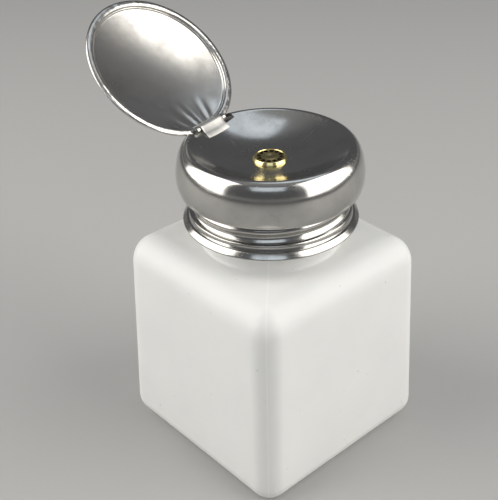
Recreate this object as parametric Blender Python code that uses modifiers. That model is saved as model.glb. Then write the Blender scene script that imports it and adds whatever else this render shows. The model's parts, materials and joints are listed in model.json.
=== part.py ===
# Square pump dispenser bottle: a plastic bottle, a steel screw collar that carries
# a brass piston pump, and a dished steel head that is pressed down to wet a pad.
# A round lid opens on a pin at the head's crest. Metres, +Z up, base centre at 0.
import math

import bmesh
import bpy

# Clearances
SEAT_GAP = 0.0003
RUNNING_GAP = 0.00025
OVERRUN = 0.002

# Bottle body
BODY_HEIGHT = 0.0603
SHOULDER_FLAT = 0.0009
BODY_TAPER = 0.00185
CORNER_RADIUS = 0.0059
TOP_FILLET = 0.0078
BASE_FILLET = 0.0062
BOTTLE_WALL = 0.0015
BOTTLE_FLOOR = 0.0020
SMALLEST_CORNER = 0.0008

# Bottle neck and its thread
NECK_RADIUS = 0.0184
NECK_WALL = 0.0016
NECK_HEIGHT = 0.0141
NECK_ROOT_FILLET = 0.0009
MOUTH_ROUND = 0.0004
THREAD_PITCH = 0.0032
THREAD_TURNS = 1.5
THREAD_HEIGHT = 0.0015
THREAD_BELOW_MOUTH = 0.0017
RIDGE_ROOT_HALF = 0.0011
RIDGE_CREST_HALF = 0.00045
RIDGE_ROOT_DEPTH = 0.0005
RIDGE_RUNOUT_SHARE = 0.12
THREAD_ENGAGEMENT = 0.0003

# Rolled sheet collar
SHEET = 0.00045
COLLAR_BEAD = 0.00075
COLLAR_SHOULDER = 0.0014
THREAD_FADE = 0.0008
COLLAR_DROP = 0.0097
WALL_FOOT_WIDTH = 0.00108
WALL_FOOT_HEIGHT = 0.0005
FLARE_WIDTH = 0.00036
FLARE_HEIGHT = 0.00145
FLARE_ABOVE_HEM = 0.00035
HEM_WIDTH = 0.00149
HEM_HEIGHT = 0.00135
HEM_RETURN = 0.0012
WELL_DEPTH = 0.00945
WELL_CLEARANCE = 0.0013
WELL_FILLET = 0.0006

# Gasket between the bottle's mouth and the collar
GASKET_THICKNESS = 0.0010
GASKET_WIDTH = 0.0023

# Pump barrel, hung in the collar's well
BARREL_BORE = 0.0045
BARREL_WALL = 0.0010
BARREL_LENGTH = 0.0247
BARREL_NECK = 0.0020
BARREL_FLANGE_WIDTH = 0.0005
BARREL_FLANGE_THICKNESS = 0.0010
WASHER_THICKNESS = 0.0006
BARREL_NUT_WIDTH = 0.0024
BARREL_NUT_HEIGHT = 0.0024
GLAND_NUT_WIDTH = 0.0018
GLAND_LIP = 0.0007
GLAND_SEAL_THICKNESS = 0.00045

# Foot valve and dip tube
VALVE_SPIGOT = 0.0042
VALVE_FLANGE_THICKNESS = 0.0013
VALVE_BORE = 0.0010
VALVE_CUP_CLEARANCE = 0.0007
VALVE_CUP_DEPTH = 0.0015
TUBE_SPIGOT_WALL = 0.0010
TUBE_SPIGOT_LENGTH = 0.0056
TUBE_BARB = 0.0002
TUBE_WALL = 0.0006
TUBE_FLOOR_GAP = 0.0016
TUBE_CUT_ANGLE = math.radians(25)
INLET_BALL_RADIUS = 0.0015

# Piston, stem and return spring
PISTON_LENGTH = 0.0070
PISTON_SOCKET_DEPTH = 0.0030
PISTON_BORE = 0.0009
SEAL_SECTION = 0.0005
SEAL_FROM_PISTON_FOOT = 0.0023
OUTLET_BALL_RADIUS = 0.0013
BALL_CHAMBER_CLEARANCE = 0.00045
BALL_CHAMBER_LENGTH = 0.0035
STEM_WALL = 0.00045
STEM_BORE = 0.0011
STEM_FLANGE_WIDTH = 0.00085
STEM_FLANGE_THICKNESS = 0.00035
SPRING_WIRE_RADIUS = 0.00035
SPRING_CLEARANCE = 0.0008
SPRING_CURLS = 6
SPRING_POINTS_PER_CURL = 9

# Head: a drum and its dish, drawn from one sheet
STROKE = 0.0050
STROKE_CLEARANCE = 0.00075
STEM_NUT_WIDTH = 0.0018
STEM_NUT_HEIGHT = 0.0024
DISH_WASHER_WIDTH = 0.0022
DISH_WASHER_THICKNESS = 0.0005
HEAD_SHEET = 0.0005
DISH_DEPTH = 0.0047
DISH_FLAT_WIDTH = 0.0004
SHOULDER_WIDTH = 0.0034
SHOULDER_HEIGHT = 0.0082
DRUM_TAPER = 0.00085
DRUM_COLLAR_CLEARANCE = 0.00205
DRUM_HEM_CLEARANCE = 0.00245
HEAD_TURN = math.radians(10)

# Nozzle
NOZZLE_CLEARANCE = 0.00035
NOZZLE_HEIGHT = 0.0010
NOZZLE_WALL = 0.0012
NOZZLE_PLATE = 0.00040
NOZZLE_RIM_SLOPE = 0.0006
NOZZLE_RECESS_DEPTH = 0.00015
NOZZLE_HOLES = 12
NOZZLE_HOLE_RADIUS = 0.00052
NOZZLE_HOLE_CIRCLE = 0.0027
NOZZLE_DIMPLE_RADIUS = 0.0007

# Lid and its hinge
LID_OVERHANG = 0.0003
LID_BEAD = 0.0006
LID_SHEET = 0.00045
LID_LEDGE = 0.0010
LID_STEP = 0.0004
LID_STEP_WIDTH = 0.0003
LID_RISE = 0.0019
LID_OPEN = math.radians(138.8)
PIN_RADIUS = 0.00045
PIN_CHAMFER = 0.0001
PIN_INSIDE_CREST = 0.0009
PIN_BELOW_CREST = 0.0003
PIN_CLEARANCE = 0.00025
STRAP_WIDTH = 0.0083
STRAP_SHEET = 0.0004
STRAP_NECK = 0.0018
STRAP_TAIL = 0.0024
STRAP_SIDE_GAP = 0.0004
LUG_RADIUS = 0.0010
LUG_THICKNESS = 0.0010
LUG_EMBED = 0.0003
LUG_TOP_REACH = 0.00045
SLOT_REACH = 0.0017
STRAP_RELIEF_RADIUS = 0.0025
LID_RELIEF_RADIUS = 0.0022
LID_RELIEF_HALF_LENGTH = 0.0078

# Facets
LOFT_STEPS = 48
RING_STEPS = 36
SMALL_STEPS = 18
BALL_STEPS = 12
BALL_RINGS = 6
WALL_ROWS = 7
DISH_ROWS = 6
DRUM_ROWS = 2
DOME_ROWS = 4

# Heights, from the base up
mouth_height = BODY_HEIGHT + NECK_HEIGHT
gasket_height = mouth_height + SEAT_GAP
deck_height = gasket_height + GASKET_THICKNESS + SEAT_GAP + SHEET
collar_foot = deck_height - COLLAR_DROP
flare_foot = collar_foot + HEM_HEIGHT + FLARE_ABOVE_HEM
flare_top = flare_foot + FLARE_HEIGHT
wall_foot = flare_top + WALL_FOOT_HEIGHT
well_floor = deck_height - WELL_DEPTH
washer_height = well_floor + SEAT_GAP
barrel_flange_height = washer_height + WASHER_THICKNESS + SEAT_GAP
gland_nut_height = barrel_flange_height + BARREL_FLANGE_THICKNESS + SEAT_GAP
barrel_top = barrel_flange_height + BARREL_FLANGE_THICKNESS + BARREL_NECK
barrel_foot = barrel_top - BARREL_LENGTH
barrel_nut_height = well_floor - SHEET - SEAT_GAP - BARREL_NUT_HEIGHT
gland_seal_height = barrel_top + SEAT_GAP
gland_lip_height = gland_seal_height + GLAND_SEAL_THICKNESS + SEAT_GAP
gland_nut_top = gland_lip_height + GLAND_LIP
valve_flange_top = barrel_foot - SEAT_GAP
valve_rim_height = valve_flange_top + VALVE_SPIGOT
inlet_seat_height = valve_rim_height - VALVE_CUP_DEPTH
piston_foot = gland_seal_height - SEAT_GAP - PISTON_LENGTH
socket_floor = piston_foot + PISTON_LENGTH - PISTON_SOCKET_DEPTH
stem_foot = socket_floor + SEAT_GAP
stem_nut_height = gland_nut_top + STROKE + STROKE_CLEARANCE
dish_washer_height = stem_nut_height + STEM_NUT_HEIGHT + SEAT_GAP
dish_floor = dish_washer_height + DISH_WASHER_THICKNESS + SEAT_GAP + HEAD_SHEET
stem_top = dish_floor + SEAT_GAP + STEM_FLANGE_THICKNESS
crest_height = dish_floor + DISH_DEPTH
pin_height = crest_height - PIN_BELOW_CREST
lid_height = crest_height + SEAT_GAP + LID_BEAD
drum_edge_height = collar_foot + HEM_HEIGHT + DRUM_HEM_CLEARANCE + STROKE
thread_start = mouth_height - THREAD_BELOW_MOUTH - THREAD_TURNS * THREAD_PITCH

# Widths of the bottle and radii of the collar
neck_root = NECK_RADIUS + NECK_ROOT_FILLET
neck_bore = NECK_RADIUS - NECK_WALL
top_half_width = neck_root + SHOULDER_FLAT + TOP_FILLET
base_half_width = top_half_width + BODY_TAPER
collar_root = NECK_RADIUS + THREAD_HEIGHT - THREAD_ENGAGEMENT + SHEET
flange_neck_radius = collar_root + WALL_FOOT_WIDTH
flare_radius = flange_neck_radius + FLARE_WIDTH
flange_radius = flare_radius + HEM_WIDTH

# Radii of the pump
barrel_radius = BARREL_BORE + BARREL_WALL
barrel_hole = barrel_radius + SEAT_GAP
gland_nut_radius = barrel_hole + GLAND_NUT_WIDTH
barrel_nut_radius = barrel_hole + BARREL_NUT_WIDTH
barrel_flange_radius = gland_nut_radius + BARREL_FLANGE_WIDTH
well_radius = barrel_flange_radius + WELL_CLEARANCE
valve_spigot_radius = BARREL_BORE - SEAT_GAP
valve_cup_radius = INLET_BALL_RADIUS + VALVE_CUP_CLEARANCE
tube_spigot_radius = VALVE_BORE + TUBE_SPIGOT_WALL
piston_radius = BARREL_BORE - SEAT_GAP
spring_radius = BARREL_BORE - SPRING_CLEARANCE - SPRING_WIRE_RADIUS
ball_chamber_radius = OUTLET_BALL_RADIUS + BALL_CHAMBER_CLEARANCE
stem_radius = ball_chamber_radius + STEM_WALL
stem_hole = stem_radius + SEAT_GAP
stem_flange_radius = stem_radius + STEM_FLANGE_WIDTH
stem_nut_radius = stem_hole + STEM_NUT_WIDTH
dish_washer_radius = stem_hole + DISH_WASHER_WIDTH

# Radii of the head and the lid
nozzle_recess_radius = stem_flange_radius + NOZZLE_CLEARANCE
nozzle_radius = nozzle_recess_radius + NOZZLE_WALL
dish_flat_radius = nozzle_radius + DISH_FLAT_WIDTH
drum_edge_radius = collar_root + COLLAR_BEAD + DRUM_COLLAR_CLEARANCE + HEAD_SHEET
widest_radius = drum_edge_radius + DRUM_TAPER
crest_radius = widest_radius - SHOULDER_WIDTH
crest_turn = SHOULDER_WIDTH ** 2 / SHOULDER_HEIGHT
crest_lean = math.atan(2 * DISH_DEPTH / (crest_radius - dish_flat_radius))
dish_end_radius = crest_radius - crest_turn * math.sin(crest_lean)
dish_end_rise = DISH_DEPTH - crest_turn * (1 - math.cos(crest_lean))
pin_from_axis = crest_radius - PIN_INSIDE_CREST
pin_hole = PIN_RADIUS + PIN_CLEARANCE
lid_radius = crest_radius + LID_OVERHANG


def clear_scene():
    for thing in list(bpy.data.objects):
        bpy.data.objects.remove(thing, do_unlink=True)


def make_collection(name):
    collection = bpy.data.collections.new(name)
    bpy.context.scene.collection.children.link(collection)
    return collection


def make_material(name, colour, roughness, metallic):
    material = bpy.data.materials.new(name)
    material.use_nodes = True
    shader = material.node_tree.nodes["Principled BSDF"]
    shader.inputs["Base Color"].default_value = (*colour, 1.0)
    shader.inputs["Roughness"].default_value = roughness
    shader.inputs["Metallic"].default_value = metallic
    return material


def make_empty(name, parent=None, location=(0, 0, 0), rotation=(0, 0, 0)):
    empty = bpy.data.objects.new(name, None)
    parts.objects.link(empty)
    empty.parent = parent
    empty.location = location
    empty.rotation_euler = rotation
    return empty


def add_object(name, mesh, material=None, parent=None, location=(0, 0, 0)):
    thing = bpy.data.objects.new(name, mesh)
    parts.objects.link(thing)
    if material:
        mesh.materials.append(material)
    thing.parent = parent
    thing.location = location
    return thing


def as_cutter(thing):
    parts.objects.unlink(thing)
    cutters.objects.link(thing)
    thing.hide_render = True
    thing.display_type = "WIRE"
    return thing


def boolean(thing, other, operation="DIFFERENCE"):
    modifier = thing.modifiers.new(other.name, "BOOLEAN")
    modifier.operation = operation
    modifier.solver = "EXACT"
    modifier.object = as_cutter(other)


def arc(centre, radii, start, end, steps):
    angles = [start + (end - start) * step / steps for step in range(steps + 1)]
    across, along = radii
    return [
        (centre[0] + across * math.cos(angle), centre[1] + along * math.sin(angle))
        for angle in angles
    ]


def turned(name, profile, material=None, parent=None, height=0, closed=True, steps=SMALL_STEPS):
    # A profile of (radius, height) points goes down its outer side and is turned about Z.
    mesh = bpy.data.meshes.new(name)
    edges = [(i, i + 1) for i in range(len(profile) - 1)]
    if closed:
        edges.append((len(profile) - 1, 0))
    mesh.from_pydata([(radius, 0, level) for radius, level in profile], edges, [])
    thing = add_object(name, mesh, material, parent, (0, 0, height))
    screw = thing.modifiers.new("Turn", "SCREW")
    screw.axis = "Z"
    screw.steps = steps
    screw.render_steps = steps
    screw.use_merge_vertices = True
    screw.merge_threshold = SEAT_GAP / 30
    return thing


def ring(name, inner, outer, thickness, material=None, parent=None, height=0, steps=SMALL_STEPS):
    profile = [(inner, thickness), (outer, thickness), (outer, 0), (inner, 0)]
    return turned(name, profile, material, parent, height, steps=steps)


def cylinder(name, radius, length, parent=None, location=(0, 0, 0), steps=SMALL_STEPS):
    mesh = bpy.data.meshes.new(name)
    shape = bmesh.new()
    bmesh.ops.create_cone(
        shape, cap_ends=True, segments=steps, radius1=radius, radius2=radius, depth=length
    )
    shape.to_mesh(mesh)
    shape.free()
    return add_object(name, mesh, None, parent, location)


def box(name, size, parent=None, location=(0, 0, 0)):
    mesh = bpy.data.meshes.new(name)
    shape = bmesh.new()
    bmesh.ops.create_cube(shape, size=1)
    bmesh.ops.scale(shape, vec=size, verts=shape.verts)
    shape.to_mesh(mesh)
    shape.free()
    return add_object(name, mesh, None, parent, location)


def hexagon(name, radius, length, material, parent, height):
    nut = cylinder(name, radius, length, parent, (0, 0, height + length / 2), 6)
    nut.data.materials.append(material)
    return nut


def loft(name, sections, material=None, parent=None, location=(0, 0, 0)):
    # Skins a row of sections that have as many points each, and closes both ends.
    mesh = bpy.data.meshes.new(name)
    shape = bmesh.new()
    rows = [[shape.verts.new(point) for point in section] for section in sections]
    count = len(sections[0])
    for lower, upper in zip(rows, rows[1:]):
        for i in range(count):
            j = (i + 1) % count
            shape.faces.new((lower[i], lower[j], upper[j], upper[i]))
    shape.faces.new(reversed(rows[0]))
    shape.faces.new(rows[-1])
    bmesh.ops.recalc_face_normals(shape, faces=shape.faces)
    shape.to_mesh(mesh)
    shape.free()
    mesh.shade_smooth()
    mesh.set_sharp_from_angle(angle=math.radians(35))
    return add_object(name, mesh, material, parent, location)


def as_mesh(thing):
    # Replaces an object by the plain mesh of what its modifiers or its curve make.
    graph = bpy.context.evaluated_depsgraph_get()
    mesh = bpy.data.meshes.new_from_object(thing.evaluated_get(graph))
    shape = bmesh.new()
    shape.from_mesh(mesh)
    bmesh.ops.remove_doubles(shape, verts=shape.verts, dist=SEAT_GAP / 30)
    shape.to_mesh(mesh)
    shape.free()
    name = thing.name
    parent = thing.parent
    location = thing.location.copy()
    bpy.data.objects.remove(thing)
    return add_object(name, mesh, None, parent, location)


# Bottle

def circle(radius, height):
    angles = [math.tau * step / LOFT_STEPS for step in range(LOFT_STEPS)]
    return [(radius * math.cos(a), radius * math.sin(a), height) for a in angles]


def rounded_square(half, corner, height):
    # A quarter of the outline has half a side, the corner's arc and half the next side.
    corner = max(corner, SMALLEST_CORNER)
    straight = half - corner
    thirds = [straight * step / 3 for step in range(3)]
    quarter = [(half, along) for along in thirds]
    quarter += arc((straight, straight), (corner, corner), 0, math.pi / 2, 6)
    quarter += [(along, half) for along in reversed(thirds[1:])]
    points = []
    for turn in range(4):
        c = math.cos(turn * math.pi / 2)
        s = math.sin(turn * math.pi / 2)
        points += [(c * x - s * y, s * x + c * y, height) for x, y in quarter]
    return points


def body_half_width(height):
    return base_half_width - BODY_TAPER * height / BODY_HEIGHT


def body_rings(inset, low, high, steps):
    # Rounded squares from the base fillet up to the shoulder, drawn in by the inset.
    rings = []
    fillet = BASE_FILLET - inset
    for along, up in arc((0, low + fillet), (fillet, fillet), -math.pi / 2, 0, steps):
        drawn_in = inset + fillet - along
        half = body_half_width(up) - drawn_in
        rings.append(rounded_square(half, CORNER_RADIUS - drawn_in, up))
    fillet = TOP_FILLET - inset
    for along, up in arc((0, high - fillet), (fillet, fillet), 0, math.pi / 2, steps):
        drawn_in = inset + fillet - along
        half = body_half_width(up) - drawn_in
        rings.append(rounded_square(half, CORNER_RADIUS - drawn_in, up))
    return rings


def neck_rings():
    fillet = arc(
        (neck_root, BODY_HEIGHT + NECK_ROOT_FILLET), (NECK_ROOT_FILLET, NECK_ROOT_FILLET),
        -math.pi / 2, -math.pi, 3,
    )
    outside = [circle(radius, height) for radius, height in fillet]
    outside.append(circle(NECK_RADIUS, mouth_height - MOUTH_ROUND))
    outside.append(circle(NECK_RADIUS - MOUTH_ROUND, mouth_height))
    inside = [circle(neck_bore + MOUTH_ROUND, mouth_height)]
    inside.append(circle(neck_bore, mouth_height - MOUTH_ROUND))
    inside.append(circle(neck_bore, BODY_HEIGHT - BOTTLE_WALL))
    return outside + inside


def thread_ridge():
    # A trapezoid section climbs around the neck and dies away at both ends.
    steps = round(THREAD_TURNS * LOFT_STEPS)
    sections = []
    for step in range(steps + 1):
        share = step / steps
        angle = math.tau * THREAD_TURNS * share
        rise = min(1, share / RIDGE_RUNOUT_SHARE, (1 - share) / RIDGE_RUNOUT_SHARE)
        root = NECK_RADIUS - RIDGE_ROOT_DEPTH
        crest = NECK_RADIUS + THREAD_HEIGHT * max(rise, RIDGE_RUNOUT_SHARE)
        level = thread_start + THREAD_TURNS * THREAD_PITCH * share
        outline = [
            (root, level - RIDGE_ROOT_HALF),
            (crest, level - RIDGE_CREST_HALF),
            (crest, level + RIDGE_CREST_HALF),
            (root, level + RIDGE_ROOT_HALF),
        ]
        sections.append([(r * math.cos(angle), r * math.sin(angle), z) for r, z in outline])
    return loft("thread_ridge", sections)


def make_bottle():
    outside = body_rings(0, 0, BODY_HEIGHT, 5)
    inside = body_rings(BOTTLE_WALL, BOTTLE_FLOOR, BODY_HEIGHT - BOTTLE_WALL, 2)
    sections = outside + neck_rings() + inside[::-1]
    bottle = loft("bottle", sections, white_plastic)
    boolean(bottle, thread_ridge(), "UNION")
    return bottle


# Collar

def thread_share(angle, height):
    # How far the rolled bead stands out at a place on the collar's wall, from 0 to 1.
    bead = thread_start + THREAD_PITCH * angle / math.tau
    wave = 0.5 + 0.5 * math.cos(math.tau * (height - bead) / THREAD_PITCH)
    fade_top = min(1, max(0, (deck_height - COLLAR_SHOULDER - height) / THREAD_FADE))
    fade_bottom = min(1, max(0, (height - wall_foot + THREAD_FADE) / THREAD_FADE))
    return wave * fade_top * fade_bottom


def collar_profile():
    # The face of the sheet that is seen, from the well's hole out, over and down.
    fillet = (WELL_FILLET, WELL_FILLET)
    well_foot = (well_radius - WELL_FILLET, well_floor + WELL_FILLET)
    well_edge = (well_radius + WELL_FILLET, deck_height - WELL_FILLET)
    wall_top = deck_height - COLLAR_SHOULDER
    shoulder = (COLLAR_SHOULDER, COLLAR_SHOULDER)
    points = [(barrel_hole, well_floor)]
    points += arc(well_foot, fillet, -math.pi / 2, 0, 1)
    points += arc(well_edge, fillet, math.pi, math.pi / 2, 1)
    points += arc((collar_root - COLLAR_SHOULDER, wall_top), shoulder, math.pi / 2, 0, 3)
    points += [
        (collar_root, wall_top + (wall_foot - wall_top) * row / WALL_ROWS)
        for row in range(1, WALL_ROWS + 1)
    ]
    return points + flange_profile()


def flange_profile():
    # The wall's foot steps out, flares down to the flange and is hemmed under itself.
    hem = HEM_HEIGHT / 2
    hem_centre = (flange_radius - hem, collar_foot + hem)
    hollow = (flange_neck_radius + flare_radius) / 2 - SHEET / 4
    points = [
        (flange_neck_radius, flare_top), (hollow, (flare_top + flare_foot) / 2),
        (flare_radius, flare_foot),
    ]
    points += arc(hem_centre, (hem, hem), math.pi / 2, -math.pi / 2, 4)
    points.append((hem_centre[0] - HEM_RETURN, collar_foot))
    return points


def make_collar():
    blank = turned(
        "collar", collar_profile(), None, collar_axis, closed=False, steps=RING_STEPS
    )
    collar = as_mesh(blank)
    wall = collar_root - SHEET / 2
    for vertex in collar.data.vertices:
        radius = math.hypot(vertex.co.x, vertex.co.y)
        if radius > wall:
            angle = math.atan2(vertex.co.y, vertex.co.x)
            stretch = 1 + COLLAR_BEAD * thread_share(angle, vertex.co.z) / radius
            vertex.co.x *= stretch
            vertex.co.y *= stretch
    collar.data.materials.append(steel)
    collar.data.shade_smooth()
    add_thickness(collar, SHEET)
    return collar


def add_thickness(thing, thickness):
    shell = thing.modifiers.new("Sheet", "SOLIDIFY")
    shell.thickness = thickness
    shell.offset = -1
    shell.use_even_offset = True
    shell.use_rim = True


def make_gasket():
    outer = collar_root - COLLAR_SHOULDER
    ring(
        "mouth_gasket", outer - GASKET_WIDTH, outer, GASKET_THICKNESS, dark_rubber,
        collar_axis, gasket_height, RING_STEPS,
    )


# Pump, carried by the collar

def make_barrel():
    neck = barrel_radius
    flange_top = -BARREL_NECK
    flange_foot = flange_top - BARREL_FLANGE_THICKNESS
    profile = [
        (BARREL_BORE, 0), (neck, 0), (neck, flange_top),
        (barrel_flange_radius, flange_top), (barrel_flange_radius, flange_foot),
        (neck, flange_foot), (neck, -BARREL_LENGTH), (BARREL_BORE, -BARREL_LENGTH),
    ]
    turned("barrel", profile, brass, collar_axis, barrel_top)
    ring(
        "barrel_washer", barrel_hole, barrel_flange_radius, WASHER_THICKNESS, fibre,
        collar_axis, washer_height,
    )


def make_barrel_nut():
    nut = hexagon(
        "barrel_nut", barrel_nut_radius, BARREL_NUT_HEIGHT, brass, collar_axis, barrel_nut_height
    )
    length = BARREL_NUT_HEIGHT + OVERRUN
    middle = barrel_nut_height + BARREL_NUT_HEIGHT / 2
    boolean(nut, cylinder("barrel_nut_bore", barrel_hole, length, collar_axis, (0, 0, middle)))


def make_gland():
    height = gland_nut_top - gland_nut_height
    nut = hexagon("gland_nut", gland_nut_radius, height, brass, collar_axis, gland_nut_height)
    lip = gland_lip_height - gland_nut_height
    profile = [
        (0, height + OVERRUN), (stem_hole, height + OVERRUN), (stem_hole, lip),
        (barrel_hole, lip), (barrel_hole, -OVERRUN), (0, -OVERRUN),
    ]
    bore = turned("gland_nut_bore", profile, None, collar_axis, gland_nut_height, closed=False)
    boolean(nut, bore)
    ring(
        "gland_seal", stem_hole, barrel_radius, GLAND_SEAL_THICKNESS, dark_rubber,
        collar_axis, gland_seal_height,
    )


def make_foot_valve():
    cup_floor = VALVE_SPIGOT - VALVE_CUP_DEPTH
    flange_foot = -VALVE_FLANGE_THICKNESS
    spigot_foot = flange_foot - TUBE_SPIGOT_LENGTH
    barb = tube_spigot_radius + TUBE_BARB
    profile = [
        (valve_cup_radius, VALVE_SPIGOT), (valve_spigot_radius, VALVE_SPIGOT),
        (valve_spigot_radius, 0), (barrel_radius, 0), (barrel_radius, flange_foot),
        (tube_spigot_radius, flange_foot), (tube_spigot_radius, spigot_foot + tube_spigot_radius),
        (barb, spigot_foot + tube_spigot_radius), (tube_spigot_radius - TUBE_BARB, spigot_foot),
        (VALVE_BORE, spigot_foot), (VALVE_BORE, cup_floor), (valve_cup_radius, cup_floor),
    ]
    turned("foot_valve", profile, brass, collar_axis, valve_flange_top)


def make_ball(name, radius, seat_radius, seat_height, parent):
    # The ball rests on the edge of its seat, a running gap clear of it.
    lift = math.sqrt((radius + RUNNING_GAP) ** 2 - seat_radius ** 2)
    half_circle = arc((0, 0), (radius, radius), math.pi / 2, -math.pi / 2, BALL_RINGS)
    half_circle[0] = (0, radius)
    half_circle[-1] = (0, -radius)
    turned(name, half_circle, ball_steel, parent, seat_height + lift, False, BALL_STEPS)


def make_dip_tube():
    bore = tube_spigot_radius + TUBE_BARB + SEAT_GAP
    outer = bore + TUBE_WALL
    top = valve_flange_top - VALVE_FLANGE_THICKNESS - SEAT_GAP
    foot = BOTTLE_FLOOR + TUBE_FLOOR_GAP
    tube = ring("dip_tube", bore, outer, top - foot, clear_plastic, collar_axis, foot)
    block = box("dip_tube_cut", (4 * outer, 4 * outer, 4 * outer), collar_axis)
    block.rotation_euler = (0, -TUBE_CUT_ANGLE, 0)
    drop = 2 * outer
    block.location = (
        outer - drop * math.sin(-TUBE_CUT_ANGLE), 0, foot - drop * math.cos(TUBE_CUT_ANGLE)
    )
    boolean(tube, block)


# Piston group, carried by the head

def make_piston():
    top = PISTON_LENGTH
    floor = PISTON_LENGTH - PISTON_SOCKET_DEPTH
    groove_half = SEAL_SECTION + SEAT_GAP
    groove_floor = piston_radius + RUNNING_GAP - 2 * groove_half
    groove_top = SEAL_FROM_PISTON_FOOT + groove_half
    groove_foot = SEAL_FROM_PISTON_FOOT - groove_half
    profile = [
        (stem_hole, top), (piston_radius, top), (piston_radius, groove_top),
        (groove_floor, groove_top), (groove_floor, groove_foot), (piston_radius, groove_foot),
        (piston_radius, 0), (PISTON_BORE, 0), (PISTON_BORE, floor), (stem_hole, floor),
    ]
    turned("piston", profile, brass, head_axis, piston_foot)
    section = (SEAL_SECTION, SEAL_SECTION)
    seal_circle = BARREL_BORE - RUNNING_GAP - SEAL_SECTION
    seal = arc((seal_circle, 0), section, math.pi / 2, -math.pi * 3 / 2, 6)[:-1]
    turned("piston_seal", seal, dark_rubber, head_axis, piston_foot + SEAL_FROM_PISTON_FOOT)


def make_stem():
    length = stem_top - stem_foot
    flange_foot = length - STEM_FLANGE_THICKNESS
    chamber = BALL_CHAMBER_LENGTH
    profile = [
        (STEM_BORE, length), (stem_flange_radius, length), (stem_flange_radius, flange_foot),
        (stem_radius, flange_foot), (stem_radius, 0), (ball_chamber_radius, 0),
        (ball_chamber_radius, chamber), (STEM_BORE, chamber + ball_chamber_radius - STEM_BORE),
    ]
    turned("stem", profile, brass, head_axis, stem_foot)
    nut = hexagon(
        "stem_nut", stem_nut_radius, STEM_NUT_HEIGHT, brass, head_axis, stem_nut_height
    )
    length = STEM_NUT_HEIGHT + OVERRUN
    middle = stem_nut_height + STEM_NUT_HEIGHT / 2
    boolean(nut, cylinder("stem_nut_bore", stem_hole, length, head_axis, (0, 0, middle)))
    ring(
        "dish_washer", stem_hole, dish_washer_radius, DISH_WASHER_THICKNESS, steel,
        head_axis, dish_washer_height,
    )


def make_spring():
    foot = valve_rim_height + SEAT_GAP + SPRING_WIRE_RADIUS
    top = piston_foot - SEAT_GAP - SPRING_WIRE_RADIUS
    count = SPRING_CURLS * SPRING_POINTS_PER_CURL
    points = []
    for step in range(count + 1):
        angle = math.tau * step / SPRING_POINTS_PER_CURL
        height = (top - foot) * step / count
        points.append((spring_radius * math.cos(angle), spring_radius * math.sin(angle), height))
    curve = bpy.data.curves.new("return_spring", "CURVE")
    curve.dimensions = "3D"
    curve.bevel_depth = SPRING_WIRE_RADIUS
    curve.bevel_resolution = 1
    curve.use_fill_caps = True
    spline = curve.splines.new("POLY")
    spline.points.add(len(points) - 1)
    for target, point in zip(spline.points, points):
        target.co = (*point, 1)
    spring = add_object("return_spring", curve, None, collar_axis, (0, 0, foot))
    spring = as_mesh(spring)
    spring.data.materials.append(steel)
    least = min(
        math.dist(points[i], points[j]) - 2 * SPRING_WIRE_RADIUS
        for i in range(count + 1)
        for j in range(i + SPRING_POINTS_PER_CURL // 2, count + 1)
    )
    print("return spring, least gap between curls in mm:", round(least * 1000, 3))


# Head

def dish_height(radius):
    # The dish is flat round the nozzle and then rises as a parabola, from its floor.
    share = max(0, radius - dish_flat_radius) / (dish_end_radius - dish_flat_radius)
    return dish_floor + dish_end_rise * share ** 2


def head_profile():
    # The face that is seen: out over the dish, round the crest and down the drum.
    rows = [row / DISH_ROWS for row in range(DISH_ROWS)]
    radii = [dish_flat_radius + (dish_end_radius - dish_flat_radius) * row for row in rows]
    points = [(stem_hole, dish_floor)] + [(radius, dish_height(radius)) for radius in radii]
    crest = (crest_radius, crest_height - crest_turn)
    points += arc(crest, (crest_turn, crest_turn), math.pi / 2 + crest_lean, math.pi / 2, 2)
    shoulder_foot = crest_height - SHOULDER_HEIGHT
    shoulder = (SHOULDER_WIDTH, SHOULDER_HEIGHT)
    points += arc((crest_radius, shoulder_foot), shoulder, math.pi / 2, 0, 6)[1:]
    for row in range(1, DRUM_ROWS + 1):
        share = row / DRUM_ROWS
        radius = widest_radius - DRUM_TAPER * share ** 2
        points.append((radius, shoulder_foot + (drum_edge_height - shoulder_foot) * share))
    return points


def make_head_shell():
    shell = turned(
        "head_shell", head_profile(), steel, head_axis, closed=False, steps=RING_STEPS
    )
    add_thickness(shell, HEAD_SHEET)
    strap_half = STRAP_WIDTH / 2 + STRAP_SIDE_GAP
    cut_across(shell, "strap_relief", STRAP_RELIEF_RADIUS, strap_half)
    cut_across(shell, "lid_relief", LID_RELIEF_RADIUS, LID_RELIEF_HALF_LENGTH)


def cut_across(thing, name, radius, half_length):
    # A round cutter that lies along the hinge pin.
    cutter = cylinder(name, radius, 2 * half_length, head_axis, (0, pin_from_axis, pin_height))
    cutter.rotation_euler = (0, math.pi / 2, 0)
    boolean(thing, cutter)


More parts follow.
